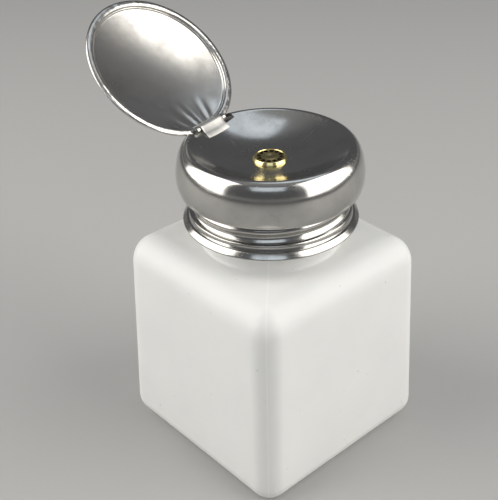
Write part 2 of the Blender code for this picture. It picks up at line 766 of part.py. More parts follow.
def make_nozzle():
    recess = nozzle_recess_radius
    plate = NOZZLE_HEIGHT - NOZZLE_RECESS_DEPTH
    plate_foot = plate - NOZZLE_PLATE
    core = NOZZLE_HOLE_CIRCLE - 2 * NOZZLE_HOLE_RADIUS
    rim = NOZZLE_HEIGHT - NOZZLE_RIM_SLOPE
    profile = [
        (0, plate - NOZZLE_RECESS_DEPTH), (NOZZLE_DIMPLE_RADIUS, plate), (core, NOZZLE_HEIGHT),
        (core + NOZZLE_HOLE_RADIUS / 2, plate), (recess, plate),
        (recess + NOZZLE_RECESS_DEPTH, NOZZLE_HEIGHT),
        (nozzle_radius - NOZZLE_RIM_SLOPE, NOZZLE_HEIGHT), (nozzle_radius, rim),
        (nozzle_radius, 0), (recess, 0), (recess, plate_foot), (0, plate_foot),
    ]
    nozzle = turned(
        "nozzle", profile, brass, head_axis, dish_floor + SEAT_GAP, closed=False
    )
    shape = bmesh.new()
    for hole in range(NOZZLE_HOLES):
        angle = math.tau * hole / NOZZLE_HOLES
        drill = bmesh.ops.create_cone(
            shape, cap_ends=True, segments=8, radius1=NOZZLE_HOLE_RADIUS,
            radius2=NOZZLE_HOLE_RADIUS, depth=NOZZLE_HEIGHT + OVERRUN,
        )
        place = (
            NOZZLE_HOLE_CIRCLE * math.cos(angle), NOZZLE_HOLE_CIRCLE * math.sin(angle),
            NOZZLE_HEIGHT + OVERRUN / 4,
        )
        bmesh.ops.translate(shape, vec=place, verts=drill["verts"])
    mesh = bpy.data.meshes.new("nozzle_drills")
    shape.to_mesh(mesh)
    shape.free()
    drills = add_object("nozzle_drills", mesh, None, head_axis, (0, 0, dish_floor + SEAT_GAP))
    boolean(nozzle, drills)


# Hinge and lid

def strap_outlines():
    # Side views of the strap, +X away from the head's axis and +Y up from the pin.
    # The sheet loops round the pin, and its long end drops on to the dish and lies along it.
    loop = pin_hole + STRAP_SHEET
    seat = pin_from_axis - STRAP_NECK
    rise = dish_height(seat) - dish_height(seat - STRAP_TAIL)
    slope = math.atan2(rise, STRAP_TAIL)
    along = (math.cos(slope), math.sin(slope))
    up = (-along[1], along[0])
    half = STRAP_SHEET / 2
    offset = SEAT_GAP + half
    neck = (offset * up[0] - STRAP_NECK, offset * up[1] + dish_height(seat) - pin_height)
    reach = math.hypot(*neck)
    toward = math.atan2(neck[1], neck[0]) + math.tau
    lean = math.asin(loop / math.hypot(reach, half)) - math.atan2(half, reach)
    quarter = math.pi / 2 - lean
    first = toward + quarter
    last = toward + math.tau - quarter
    end = (neck[0] - STRAP_TAIL * along[0], neck[1] - STRAP_TAIL * along[1])
    sheet = (half * up[0], half * up[1])
    outside = arc((0, 0), (loop, loop), first, last, 12)
    outside += [
        (neck[0] + sheet[0], neck[1] + sheet[1]), (end[0] + sheet[0], end[1] + sheet[1]),
        (end[0] - sheet[0], end[1] - sheet[1]), (neck[0] - sheet[0], neck[1] - sheet[1]),
    ]
    apex = pin_hole / math.sin(lean)
    inside = arc((0, 0), (pin_hole, pin_hole), first, last, 12)
    inside.append((apex * math.cos(toward), apex * math.sin(toward)))
    return outside, inside


def side_plate(name, outlines, thickness, material, parent, location):
    # Flat outlines in the head's side view, with a thickness along the hinge pin.
    curve = bpy.data.curves.new(name, "CURVE")
    curve.dimensions = "2D"
    curve.fill_mode = "BOTH"
    curve.extrude = thickness / 2
    for outline in outlines:
        spline = curve.splines.new("POLY")
        spline.points.add(len(outline) - 1)
        spline.use_cyclic_u = True
        for target, (across, up) in zip(spline.points, outline):
            target.co = (across, up, 0, 1)
    plate = add_object(name, curve, None, parent, location)
    plate = as_mesh(plate)
    plate.data.materials.append(material)
    plate.rotation_euler = (math.pi / 2, 0, math.pi / 2)
    return plate


def make_strap():
    place = (0, pin_from_axis, pin_height)
    side_plate("hinge_strap", strap_outlines(), STRAP_WIDTH, steel, head_axis, place)


def make_pin():
    half = STRAP_WIDTH / 2 + STRAP_SIDE_GAP + LUG_THICKNESS
    end = PIN_RADIUS - PIN_CHAMFER
    straight = half - PIN_CHAMFER
    profile = [
        (0, half), (end, half), (PIN_RADIUS, straight),
        (PIN_RADIUS, -straight), (end, -half), (0, -half),
    ]
    pin = turned("hinge_pin", profile, steel, lid_axis, closed=False, steps=12)
    pin.rotation_euler = (0, math.pi / 2, 0)


def lid_profile():
    # From the crown out to the rolled rim, round the rim's bead and back underneath.
    bead_circle = lid_radius - LID_BEAD
    ledge = bead_circle - LID_BEAD - LID_LEDGE
    dome_edge = ledge - LID_STEP_WIDTH
    dome = []
    for row in range(DOME_ROWS + 1):
        share = row / DOME_ROWS
        dome.append((dome_edge * share, LID_BEAD + LID_STEP + LID_RISE * (1 - share ** 2)))
    top = dome + [(ledge, LID_BEAD)]
    under = [(radius, height - LID_SHEET) for radius, height in reversed(top)]
    turn_in = math.asin((LID_BEAD - LID_SHEET) / LID_BEAD)
    bead = arc((bead_circle, 0), (LID_BEAD, LID_BEAD), math.pi / 2, -math.pi - turn_in, 6)
    return top + bead + under


def make_lid():
    lid = turned("lid", lid_profile(), steel, lid_axis, closed=False, steps=RING_STEPS)
    lid.location = (0, -pin_from_axis, lid_height - pin_height)
    slot_half = STRAP_WIDTH / 2 + STRAP_SIDE_GAP
    slot_depth = lid_radius
    slot_height = LID_RISE + LID_STEP + 4 * LID_BEAD
    slot = box("lid_slot", (2 * slot_half, slot_depth, 2 * slot_height), lid_axis)
    slot.location = (0, slot_depth / 2 - SLOT_REACH, lid_height - pin_height)
    boolean(lid, slot)
    rise = lid_height - pin_height + LUG_EMBED
    outline = arc((0, 0), (LUG_RADIUS, LUG_RADIUS), math.pi, math.tau, 8)
    outline += [(LUG_TOP_REACH, rise), (-LUG_RADIUS, rise)]
    for name, side in (("lug_left", -1), ("lug_right", 1)):
        middle = (side * (slot_half + LUG_THICKNESS / 2), 0, 0)
        lug = side_plate(name, [outline], LUG_THICKNESS, steel, lid_axis, middle)
        boolean(lid, lug, "UNION")
    length = 2 * (slot_half + LUG_THICKNESS) + OVERRUN
    bore = cylinder("lug_bore", pin_hole, length, lid_axis, steps=12)
    bore.rotation_euler = (0, math.pi / 2, 0)
    boolean(lid, bore)


clear_scene()
parts = make_collection("pump_dispenser_bottle")
cutters = make_collection("cutters")
white_plastic = make_material("white_plastic", (0.90, 0.90, 0.87), 0.35, 0.0)
clear_plastic = make_material("clear_plastic", (0.82, 0.84, 0.84), 0.30, 0.0)
dark_rubber = make_material("dark_rubber", (0.06, 0.06, 0.06), 0.70, 0.0)
fibre = make_material("fibre", (0.45, 0.16, 0.10), 0.80, 0.0)
steel = make_material("steel", (0.62, 0.61, 0.58), 0.22, 1.0)
ball_steel = make_material("ball_steel", (0.70, 0.70, 0.70), 0.10, 1.0)
brass = make_material("brass", (0.80, 0.58, 0.24), 0.25, 1.0)

collar_axis = make_empty("collar_axis")
head_axis = make_empty("head_axis", collar_axis, rotation=(0, 0, HEAD_TURN))
lid_axis = make_empty(
    "lid_axis", head_axis, (0, pin_from_axis, pin_height), (-LID_OPEN, 0, 0)
)

make_bottle()
make_collar()
make_gasket()
make_barrel()
make_barrel_nut()
make_gland()
make_foot_valve()
make_ball("inlet_ball", INLET_BALL_RADIUS, VALVE_BORE, inlet_seat_height, collar_axis)
make_dip_tube()
make_spring()
make_piston()
make_ball("outlet_ball", OUTLET_BALL_RADIUS, PISTON_BORE, socket_floor, head_axis)
make_stem()
make_head_shell()
make_nozzle()
make_strap()
make_pin()
make_lid()
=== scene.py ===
# %% [markdown]
# A square pump dispenser bottle.
# A pad is pressed into the steel dish on top, the dish goes down on its spring, and liquid wells
# up through the brass nozzle. The packed model gives every piece its place and its motion. This
# lesson gives the pieces that are seen a finer surface, and every piece its finish.

# %% Load the packed model
import json
import math

import bmesh
import bpy
from mathutils import Matrix, Vector


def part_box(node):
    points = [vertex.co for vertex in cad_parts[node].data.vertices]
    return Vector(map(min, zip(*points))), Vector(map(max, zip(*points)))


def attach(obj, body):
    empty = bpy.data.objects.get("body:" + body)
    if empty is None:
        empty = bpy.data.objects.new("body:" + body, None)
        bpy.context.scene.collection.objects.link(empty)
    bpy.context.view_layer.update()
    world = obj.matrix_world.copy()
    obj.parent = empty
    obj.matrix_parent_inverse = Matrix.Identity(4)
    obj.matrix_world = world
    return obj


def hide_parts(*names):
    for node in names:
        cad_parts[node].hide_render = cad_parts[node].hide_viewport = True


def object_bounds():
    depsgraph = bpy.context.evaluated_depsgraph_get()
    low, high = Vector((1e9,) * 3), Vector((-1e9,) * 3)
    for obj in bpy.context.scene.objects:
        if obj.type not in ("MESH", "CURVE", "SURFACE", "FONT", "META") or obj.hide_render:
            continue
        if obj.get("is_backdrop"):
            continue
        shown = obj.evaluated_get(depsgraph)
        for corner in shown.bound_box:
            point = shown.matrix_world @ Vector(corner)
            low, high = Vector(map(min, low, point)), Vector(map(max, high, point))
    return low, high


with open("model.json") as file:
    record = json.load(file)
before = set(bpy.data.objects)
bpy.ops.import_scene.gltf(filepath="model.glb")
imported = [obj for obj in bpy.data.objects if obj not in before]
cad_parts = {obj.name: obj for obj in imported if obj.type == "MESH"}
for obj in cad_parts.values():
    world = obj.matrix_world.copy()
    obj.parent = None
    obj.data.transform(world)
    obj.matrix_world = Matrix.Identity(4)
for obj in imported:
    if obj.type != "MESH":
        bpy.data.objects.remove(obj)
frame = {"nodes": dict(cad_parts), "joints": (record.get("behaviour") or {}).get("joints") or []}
cad_low, cad_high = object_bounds()


def mm(length):
    return f"{1000 * length:.2f} mm"


# %% [markdown]
# The camera.
# The photograph's own edges give the place of its lens: ahead of the near corner, well above the
# dish. The picture is a cut of a larger one, so a small shift moves the object off the lens axis.

# %% Camera at the photograph's view
CAMERA_PLACE = Vector((-0.1531, -0.1670, 0.1983))
CAMERA_AIM = Vector((0.0, 0.0, 0.0569))
CAMERA_ROLL = -0.015
CAMERA_LENS = 71.9
CAMERA_SHIFT = (-0.045, -0.0093)
CAMERA_NEAREST = 0.01


def add_object(name, data):
    thing = bpy.data.objects.new(name, data)
    bpy.context.scene.collection.objects.link(thing)
    return thing


camera = add_object("camera", bpy.data.cameras.new("camera"))
look = (CAMERA_AIM - CAMERA_PLACE).to_track_quat("-Z", "Y")
turn = look.to_matrix() @ Matrix.Rotation(CAMERA_ROLL, 3, "Z")
camera.matrix_world = Matrix.Translation(CAMERA_PLACE) @ turn.to_4x4()
camera.data.lens = CAMERA_LENS
camera.data.shift_x, camera.data.shift_y = CAMERA_SHIFT
camera.data.clip_start = CAMERA_NEAREST
bpy.context.scene.camera = camera
print("camera stands", mm((CAMERA_PLACE - CAMERA_AIM).length), "from its aim")

# %% [markdown]
# Node trees, written as sums.
# A finish and a shape rule are both made of many small nodes. A socket is wrapped in a class that
# knows how to add, multiply and compare, so that a rule can be read as a line of arithmetic.

# %% A socket that does sums


def sum_of(operation, swapped=False):
    # A method that adds a Math node, for its own wire and for another or a number.
    def method(wire, other=0.0):
        inputs = {0: other, 1: wire} if swapped else {0: wire, 1: other}
        return wire.bench.node("ShaderNodeMath", inputs, operation=operation)

    return method


class Wire:
    """An output socket that adds a Math node for each sum it takes part in."""

    __add__ = __radd__ = sum_of("ADD")
    __sub__ = sum_of("SUBTRACT")
    __rsub__ = sum_of("SUBTRACT", swapped=True)
    __mul__ = __rmul__ = sum_of("MULTIPLY")
    __truediv__ = sum_of("DIVIDE")
    __gt__ = sum_of("GREATER_THAN")
    __abs__ = sum_of("ABSOLUTE")
    cosine = sum_of("COSINE")
    root = sum_of("SQRT")
    angle_over = sum_of("ARCTAN2")

    def __init__(self, bench, socket):
        self.bench = bench
        self.socket = socket

    def length_with(self, other):
        return (self * self + other * other).root()

    def pick(self, output):
        return Wire(self.bench, self.socket.node.outputs[output])

    def parts(self):
        across = self.bench.node("ShaderNodeSeparateXYZ", {0: self})
        return across, across.pick("Y"), across.pick("Z")

    def share(self, none, full):
        # From 0 to 1, as the value goes from the one that gives none to the one that gives all.
        inputs = {0: self, 1: none, 2: full}
        return self.bench.node("ShaderNodeMapRange", inputs, clamp=True)

    def into(self, target):
        self.bench.tree.links.new(self.socket, target)


print("a wire has", ", ".join(name for name in vars(Wire) if name[0] != "_"))

# %% A bench that adds nodes


class Bench:
    """Adds nodes to one tree: a kind, its settings and the values or wires of its sockets."""

    def __init__(self, tree):
        self.tree = tree

    def node(self, kind, inputs=None, output=0, **settings):
        made = self.tree.nodes.new(kind)
        for name, value in settings.items():
            setattr(made, name, value)
        for name, value in (inputs or {}).items():
            if isinstance(value, Wire):
                value.into(made.inputs[name])
            else:
                made.inputs[name].default_value = value
        return Wire(self, made.outputs[output])


print("a bench adds nodes to one tree")

# %% [markdown]
# Light.
# Metal shows what stands round it, so the lamps are placed where the photograph's own highlights
# point back to: two large soft windows, one left and one right of the viewer, with a dark gap
# between them, a small cool lamp in that gap, and a faint one overhead. The sky is dim, a little
# paler at the horizon and straight up, which keeps the dish dark and the front of the drum plain.

# %% Sky and floor
FLOOR_SIZE = 8.0
FLOOR_DROP = 0.00005
FLOOR_COLOUR = (0.45, 0.447, 0.44, 1.0)
FLOOR_ROUGHNESS = 0.75
# Stops of the sky: the sine of the height above the horizon, and the colour there.
SKY = [
    (0.0, (0.34, 0.34, 0.335)), (0.12, (0.11, 0.112, 0.118)),
    (0.80, (0.12, 0.122, 0.128)), (1.0, (0.33, 0.335, 0.34)),
]


def make_sky():
    world = bpy.data.worlds.new("studio")
    bpy.context.scene.world = world
    world.use_nodes = True
    bench = Bench(world.node_tree)
    height = bench.node("ShaderNodeTexCoord", output="Generated").parts()[2]
    colour = bench.node("ShaderNodeValToRGB", {0: height})
    colour.into(world.node_tree.nodes["Background"].inputs["Color"])
    elements = colour.socket.node.color_ramp.elements
    while len(elements) < len(SKY):
        elements.new(0.5)
    for element, (sine, tint) in zip(elements, SKY):
        element.position = sine
        element.color = (*tint, 1.0)


def make_floor():
    bpy.ops.mesh.primitive_plane_add(size=FLOOR_SIZE, location=(0, 0, -FLOOR_DROP))
    floor = bpy.context.object
    floor.name = "floor"
    paint = bpy.data.materials.new("floor_paint")
    paint.use_nodes = True
    inputs = paint.node_tree.nodes["Principled BSDF"].inputs
    inputs["Base Color"].default_value = FLOOR_COLOUR
    inputs["Roughness"].default_value = FLOOR_ROUGHNESS
    floor.data.materials.append(paint)
    floor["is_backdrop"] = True


make_sky()
make_floor()
bpy.context.scene.view_settings.view_transform = "Standard"
print("stops in the sky:", len(SKY))

# %% Lamps
AIM_HEIGHT = 0.08
LAMP_DISTANCE = 0.70
WINDOW_DISTANCE = 0.55
WARM = (1.0, 0.975, 0.93)
COOL = (0.80, 0.90, 1.0)
# Each window stands upright on the level of the aim: its azimuth from -Y toward +X, the angle that
# it spans across and its top's elevation, in degrees, its radiance and its colour.
WINDOWS = {
    "window_left": (-129, 62, 62, 3.1, WARM),
    "window_right": (34, 68, 61, 2.9, WARM),
}
# Each lamp: its azimuth, elevation, the angles that it spans across and upwards, and the same.
LAMPS = {
    "lamp_near_lens": (-46, 42, 34, 22, 1.0, COOL),
    "lamp_overhead": (112, 66, 30, 26, 0.9, COOL),
}


def toward(azimuth, elevation):
    around, up = math.radians(azimuth), math.radians(elevation)
    level = math.cos(up)
    return Vector((math.sin(around) * level, -math.cos(around) * level, math.sin(up)))


def make_lamp(name, place, facing, width, height, radiance, colour):
    lamp = add_object(name, bpy.data.lights.new(name, "AREA"))
    lamp.data.shape = "RECTANGLE"
    lamp.data.size, lamp.data.size_y = width, height
    lamp.data.energy = radiance * math.pi * width * height
    lamp.data.color = colour
    lamp.location = place
    lamp.rotation_euler = facing.to_track_quat("Z", "Y").to_euler()
    lamp.visible_camera = False
    print(name, "gives", round(lamp.data.energy, 2), "watts")


def spanned(degrees, distance):
    return 2 * distance * math.tan(math.radians(degrees / 2))


aim = Vector((0, 0, AIM_HEIGHT))
for name, (azimuth, wide, tall, radiance, colour) in WINDOWS.items():
    away = toward(azimuth, 0)
    height = WINDOW_DISTANCE * math.tan(math.radians(tall))
    place = aim + away * WINDOW_DISTANCE + Vector((0, 0, height / 2))
    make_lamp(name, place, away, spanned(wide, WINDOW_DISTANCE), height, radiance, colour)
for name, (azimuth, elevation, wide, tall, radiance, colour) in LAMPS.items():
    away = toward(azimuth, elevation)
    size = spanned(wide, LAMP_DISTANCE), spanned(tall, LAMP_DISTANCE)
    make_lamp(name, aim + away * LAMP_DISTANCE, away, *size, radiance, colour)

# %% [markdown]
# Metal.
# The collar, head and lid are thin steel that was drawn, polished and then handled. It isn't a
# mirror: wide smears change its gloss, fine specks stand dull in it, and a very low grain spreads
# each highlight. The smears and the specks feed the roughness, the specks and the grain the bump.

# %% How a finish is put together
BUMP_DEPTH = 0.00002
METAL = {"Metallic": 1.0}


def new_finish(name):
    material = bpy.data.materials.new(name)
    material.use_nodes = True
    return material, Bench(material.node_tree).node("ShaderNodeTexCoord", output="Object")


def noise(place, scale, detail=2.0, roughness=0.5):
    inputs = {"Vector": place, "Scale": scale, "Detail": detail, "Roughness": roughness}
    return place.bench.node("ShaderNodeTexNoise", inputs)


def marks(place, scale, low, high, *texture):
    # Patches that come up as the noise goes from its low value to its high one.
    return noise(place, scale, *texture).share(low, high)


def blend(factor, low, high):
    inputs = {"Factor": factor, 6: low, 7: high}
    return factor.bench.node("ShaderNodeMix", inputs, 2, data_type="RGBA")


def bump(height, strength, depth=BUMP_DEPTH):
    inputs = {"Strength": strength, "Distance": depth, "Height": height}
    return height.bench.node("ShaderNodeBump", inputs)


def finished(material, colour, roughness, normal, values):
    # The shader takes three wires, and plain values by the names of their sockets.
    inputs = material.node_tree.nodes["Principled BSDF"].inputs
    colour.into(inputs["Base Color"])
    roughness.into(inputs["Roughness"])
    normal.into(inputs["Normal"])
    for name, value in values.items():
        inputs[name].default_value = value
    print(material.name, "has", len(material.node_tree.nodes), "nodes")
    return material


print("most bumps are", mm(BUMP_DEPTH), "deep")

# %% Steel, with smears, specks and grain
STEEL_BRIGHT = (0.57, 0.56, 0.535, 1.0)
STEEL_DULL = (0.44, 0.43, 0.41, 1.0)
# A paler copy of the same steel, for the strap and the lid: painted light that makes them read
# brighter.
STEEL_PAINTED_PALER = (0.68, 0.665, 0.635, 1.0)
# Marks: the noise's scale, the values between which they come up, its detail and its roughness.
SMEARS = (95.0, 0.42, 0.72, 3.0, 0.6)
SMEAR_ROUGHNESS = 0.05
SPECKS = (2600.0, 0.5, 0.62, 3.0, 0.7)
SPECK_RELIEF = 0.4
GRAIN_SCALE = 5200.0
GRAIN_RELIEF = 0.3
STEEL_BUMP = 0.12
RING_SCALE = 3800.0
RING_ROUGHNESS = 0.05
RING_RELIEF = 0.9
SCRATCH_TURN = 0.9
SCRATCH_STRETCH = (60.0, 2600.0, 60.0)
SCRATCHES = (1.0, 0.70, 0.76)
SCRATCH_ROUGHNESS = 0.18
SCRATCH_DEPTH = 0.5


def steel(name, matt, speck_matt=0.12, bright=STEEL_BRIGHT, relief=None):
    material, place = new_finish(name)
    smears = marks(place, *SMEARS)
    specks = marks(place, *SPECKS)
    colour = blend(smears, bright, STEEL_DULL)
    roughness = matt + SMEAR_ROUGHNESS * smears + speck_matt * specks * smears
    height = GRAIN_RELIEF * noise(place, GRAIN_SCALE) + SPECK_RELIEF * specks
    if relief:
        added_roughness, added_height = relief(place)
        roughness = roughness + added_roughness
        height = height + added_height
    return finished(material, colour, roughness, bump(height, STEEL_BUMP), METAL)


def turning_marks(place):
    # Fine rings round the pump's axis, left by the polishing lathe, and a few long scratches.
    across, along = place.parts()[:2]
    inputs = {"W": across.length_with(along), "Scale": RING_SCALE, "Detail": 2.0}
    rings = place.bench.node("ShaderNodeTexNoise", inputs, noise_dimensions="1D")
    inputs = {"Vector": place, "Rotation": (0, 0, SCRATCH_TURN), "Scale": SCRATCH_STRETCH}
    stretched = place.bench.node("ShaderNodeMapping", inputs)
    scratches = marks(stretched, *SCRATCHES)
    added_roughness = RING_ROUGHNESS * rings + SCRATCH_ROUGHNESS * scratches
    return added_roughness, RING_RELIEF * rings - SCRATCH_DEPTH * scratches


drum_steel = steel("drum_steel", matt=0.11, speck_matt=0.20, relief=turning_marks)
collar_steel = steel("collar_steel", matt=0.14, speck_matt=0.10)
# The strap's steel is painted paler than the drum's: painted light.
strap_steel = steel("strap_steel", matt=0.42, speck_matt=0.10, bright=STEEL_PAINTED_PALER)
pin_steel = steel("pin_steel", matt=0.20)

# %% [markdown]
# Steel of the lid.
# The lid's underside faces the viewer. It was pressed but not polished as well as the drum, so
# its picture of the room is blurred. Its rolled rim has small dents, left by the rollers. They
# are placed by the lid's own plan, which is kept on the mesh as a UV map.

# %% Steel of the lid, with the rim's dents
PLAN_MAP = "plan"
# Shares of the lid's width, on that plan: its middle, up from its front, and the rim's inner edge.
LID_MIDDLE = 0.528
RIM_EDGES = (0.45, 0.46)
DENT_SCALE = 16.0
DENT_RELIEF = 70.0


def rim_dents(place):
    plan = place.bench.node("ShaderNodeUVMap", uv_map=PLAN_MAP)
    across, along = plan.parts()[:2]
    on_rim = (across - 0.5).length_with(along - LID_MIDDLE).share(*RIM_EDGES)
    return 0.0, DENT_RELIEF * noise(plan, DENT_SCALE, 1.0) * on_rim


# The lid's steel is painted paler than the drum's: painted light.
lid_steel = steel("lid_steel", matt=0.20, speck_matt=0.03, bright=STEEL_PAINTED_PALER, relief=rim_dents)

# %% [markdown]
# Brass.
# The nozzle is turned brass with a thin bright lacquer. The pump's inner pieces are the same
# metal, duller. Its colour shifts a little where the lacquer has worn. Dried liquid darkens the
# nozzle's face inside its rim, and down in the holes a painted shade darkens the brass, the stem's
# top too.

# %% Brass
BRASS_BRIGHT = (0.91, 0.77, 0.37, 1.0)
BRASS_DULL = (0.66, 0.54, 0.26, 1.0)
TARNISH = (420.0, 0.42, 0.75, 3.0, 0.6)
TARNISH_ROUGHNESS = 0.16
TURNED_SCALE = 4200.0
TURNED_ROUGHNESS = 0.05
BRASS_BUMP = 0.15
# The colour of dried liquid on the face, and of the painted shade in the holes.
RESIDUE_AND_SHADE = (0.045, 0.036, 0.026, 1.0)
RESIDUE_ROUGHNESS = 0.25
# Radii, and depths below the nozzle's top, that give none of the dried liquid and all of it.
RESIDUE_RADII = (0.0036, 0.0034)
RESIDUE_DEPTHS = (0.0016, 0.0012)
# Depths below the top at which the painted shade in the holes is none and full.
HOLE_SHADE_DEPTHS = (0.0002, 0.0003)
# The nozzle is pressed down on to the dish, this far below its packed place.
NOZZLE_SEAT = 0.00027
nozzle_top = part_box("nozzle")[1].z - NOZZLE_SEAT


def residue_and_hole_shade(place):
    # Dried liquid, half on the face, and painted shade, full in the holes, down to the stem's top.
    across, along, height = place.parts()
    depth = nozzle_top - height
    inside_rim = across.length_with(along).share(*RESIDUE_RADII)
    near_face = depth.share(*RESIDUE_DEPTHS)
    hole_shade = depth.share(*HOLE_SHADE_DEPTHS)
    return inside_rim * near_face * (0.5 + 0.5 * hole_shade)


def brass(name, matt, with_residue_and_shade=False):
    material, place = new_finish(name)
    tarnish = marks(place, *TARNISH)
    grain = noise(place, TURNED_SCALE)
    colour = blend(tarnish, BRASS_BRIGHT, BRASS_DULL)
    roughness = matt + TARNISH_ROUGHNESS * tarnish + TURNED_ROUGHNESS * grain
    if with_residue_and_shade:
        # Dried liquid on the face, and painted shade in the holes.
        residue_and_shade = residue_and_hole_shade(place)
        colour = blend(residue_and_shade, colour, RESIDUE_AND_SHADE)
        roughness = roughness + RESIDUE_ROUGHNESS * residue_and_shade
    return finished(material, colour, roughness, bump(grain, BRASS_BUMP), METAL)


nozzle_brass = brass("nozzle_brass", 0.13, with_residue_and_shade=True)
# The stem's top, seen through the holes, gets the painted shade too.
stem_brass = brass("stem_brass", 0.27, with_residue_and_shade=True)
pump_brass = brass("pump_brass", 0.27)

# %% [markdown]
# Plastic, rubber and fibre.
# The bottle is blow-moulded white polyethylene: a waxy, slightly uneven skin that light enters a
# little way. The two halves of its mould met along the diagonal, and left a hair-thin line there.
# The line follows the distance from that diagonal plane, read from the object's own place. It is
# a low ridge, made paler by a painted highlight along it.

# %% White plastic with its mould line
WAX_GREY = (0.80, 0.805, 0.79, 1.0)
WAX_WHITE = (0.835, 0.83, 0.81, 1.0)
CLOUDS = (60.0, 0.3, 0.7)
# A painted highlight along the mould line, and how much of it.
MOULD_LINE_HIGHLIGHT = (0.90, 0.90, 0.885, 1.0)
MOULD_LINE_HALF = 0.00009
MOULD_HIGHLIGHT_SHARE = 0.6
MOULD_LINE_RELIEF = 0.5
DUST = (1300.0, 0.85, 0.88, 0.0)
DUST_COLOUR = (0.35, 0.32, 0.28, 1.0)
DUST_SHARE = 0.4
WAX = (700.0, 3.0, 0.6)
WAX_MATT = 0.36
WAX_ROUGHNESS = 0.10
WAX_RELIEF = 0.35
WAX_BUMP = 0.5
WAX_DEPTH = 0.00005
# How much light enters the skin, and how far.
WAX_VALUES = {
    "Subsurface Weight": 0.25, "Subsurface Radius": (1.0, 0.9, 0.8), "Subsurface Scale": 0.0025,
}


def bottle_plastic():
    material, place = new_finish("bottle_plastic")
    across, along = place.parts()[:2]
    off_diagonal = abs(across - along) / math.sqrt(2)
    # The seam's mask gives the ridge's height and a painted highlight.
    seam_ridge_and_highlight = off_diagonal.share(3 * MOULD_LINE_HALF, MOULD_LINE_HALF)
    wax = noise(place, *WAX)
    clouds = marks(place, *CLOUDS)
    dust = marks(place, *DUST)
    colour = blend(clouds, WAX_GREY, WAX_WHITE)
    colour = blend(MOULD_HIGHLIGHT_SHARE * seam_ridge_and_highlight, colour, MOULD_LINE_HIGHLIGHT)
    colour = blend(DUST_SHARE * dust, colour, DUST_COLOUR)
    height = WAX_RELIEF * wax + MOULD_LINE_RELIEF * seam_ridge_and_highlight
    normal = bump(height, WAX_BUMP, WAX_DEPTH)
    return finished(material, colour, WAX_MATT + WAX_ROUGHNESS * wax, normal, WAX_VALUES)


white_skin = bottle_plastic()

# %% Rubber, fibre, tube and valve balls
STOCK_TEXTURE = (4.0, 0.65)
STOCK_ROUGHNESS = 0.12
STOCK_BUMP = 0.4
FIBRE_DEPTH = 0.00005


def plain_stock(name, colour, dark, matt, scale, depth=BUMP_DEPTH, metallic=0.0):
    material, place = new_finish(name)
    grain = noise(place, scale, *STOCK_TEXTURE)
    mottled = blend(grain, (*dark, 1), (*colour, 1))
    normal = bump(grain, STOCK_BUMP, depth)
    values = {"Metallic": metallic}
    return finished(material, mottled, matt + STOCK_ROUGHNESS * grain, normal, values)


seal_rubber = plain_stock("seal_rubber", (0.06, 0.06, 0.058), (0.03, 0.03, 0.03), 0.55, 1600.0)
washer_fibre = plain_stock(
    "washer_fibre", (0.42, 0.15, 0.10), (0.27, 0.09, 0.06), 0.72, 2400.0, FIBRE_DEPTH
)
tube_plastic = plain_stock("tube_plastic", (0.80, 0.82, 0.82), (0.72, 0.75, 0.76), 0.22, 500.0)
valve_steel = plain_stock(
    "valve_steel", (0.72, 0.72, 0.72), (0.60, 0.60, 0.60), 0.08, 2200.0, metallic=1.0
)

# %% [markdown]
# The bottle.
# A blow-moulded bottle swells from a round tube into a square mould, so its walls draw in a hair
# between the corners and every edge is round. It is skinned over a row of sections: rounded
# squares for the body, circles for the neck. The neck's thread is no extra piece. Each circle's
# radius swells where the helix passes, so the ridge grows out of the same skin.

# %% Sizes of the bottle
BODY_HEIGHT = 0.0603
TOP_HALF_WIDTH = 0.0280
BODY_TAPER = 0.00185
CORNER_RADIUS = 0.0059
TOP_FILLET = 0.0078
BASE_FILLET = 0.0062
SMALLEST_CORNER = 0.0008
SIDE_SINK = 0.00014
BASE_RECESS = 0.0005
BASE_RIM = 0.0030
BASE_SLOPE = 0.0012
# The base's rings, from its middle outwards: share of the slope, and share of the recess.
BASE_RINGS = ((1, 1), (0.5, 0.8), (0, 0))
BOTTLE_WALL = 0.0015
BOTTLE_FLOOR = 0.0020
NECK_RADIUS = 0.0184
NECK_WALL = 0.0016
NECK_FILLET = 0.0009
MOUTH_ROUND = 0.0004
THREAD_PITCH = 0.0032
THREAD_TURNS = 1.5
THREAD_HEIGHT = 0.0015
THREAD_BELOW_MOUTH = 0.0017
RIDGE_FOOT_HALF = 0.00094
RIDGE_CREST_HALF = 0.00045
RIDGE_RUNOUT = 0.12
SKIN_ANGLE = 40
NECK_ROWS = 96
BODY_ROWS = 10
SIDE_STEPS = 12
CORNER_STEPS = 16
FILLET_STEPS = 12
SMALL_STEPS = 5
mouth_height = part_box("bottle")[1].z
thread_start = mouth_height - THREAD_BELOW_MOUTH - THREAD_TURNS * THREAD_PITCH
ring_points = 4 * (2 * SIDE_STEPS + CORNER_STEPS)
print("mouth at", mm(mouth_height))

# %% Sections of the body


def arc(centre, radius, start, end, steps, tall=None):
    # Points of a circle's arc, from one angle in degrees to another, or of an ellipse's.
    angles = [math.radians(start + (end - start) * step / steps) for step in range(steps + 1)]
    return [
        (centre[0] + radius * math.cos(angle), centre[1] + (tall or radius) * math.sin(angle))
        for angle in angles
    ]


def rows_between(first, last, count):
    return [first + (last - first) * row / count for row in range(1, count)]


def rounded_square(half, corner, height, sink=0.0):
    corner = max(corner, SMALLEST_CORNER)
    straight = half - corner
    steps = [straight * step / SIDE_STEPS for step in range(SIDE_STEPS)]
    quarter = [(half - sink * (1 - (along / straight) ** 2), along) for along in steps]
    quarter += arc((straight, straight), corner, 0, 90, CORNER_STEPS)
    quarter += [(across, side) for side, across in quarter[SIDE_STEPS - 1:0:-1]]
    return [
        (c * x - s * y, s * x + c * y, height)
        for c, s in ((1, 0), (0, 1), (-1, 0), (0, -1))
        for x, y in quarter
    ]


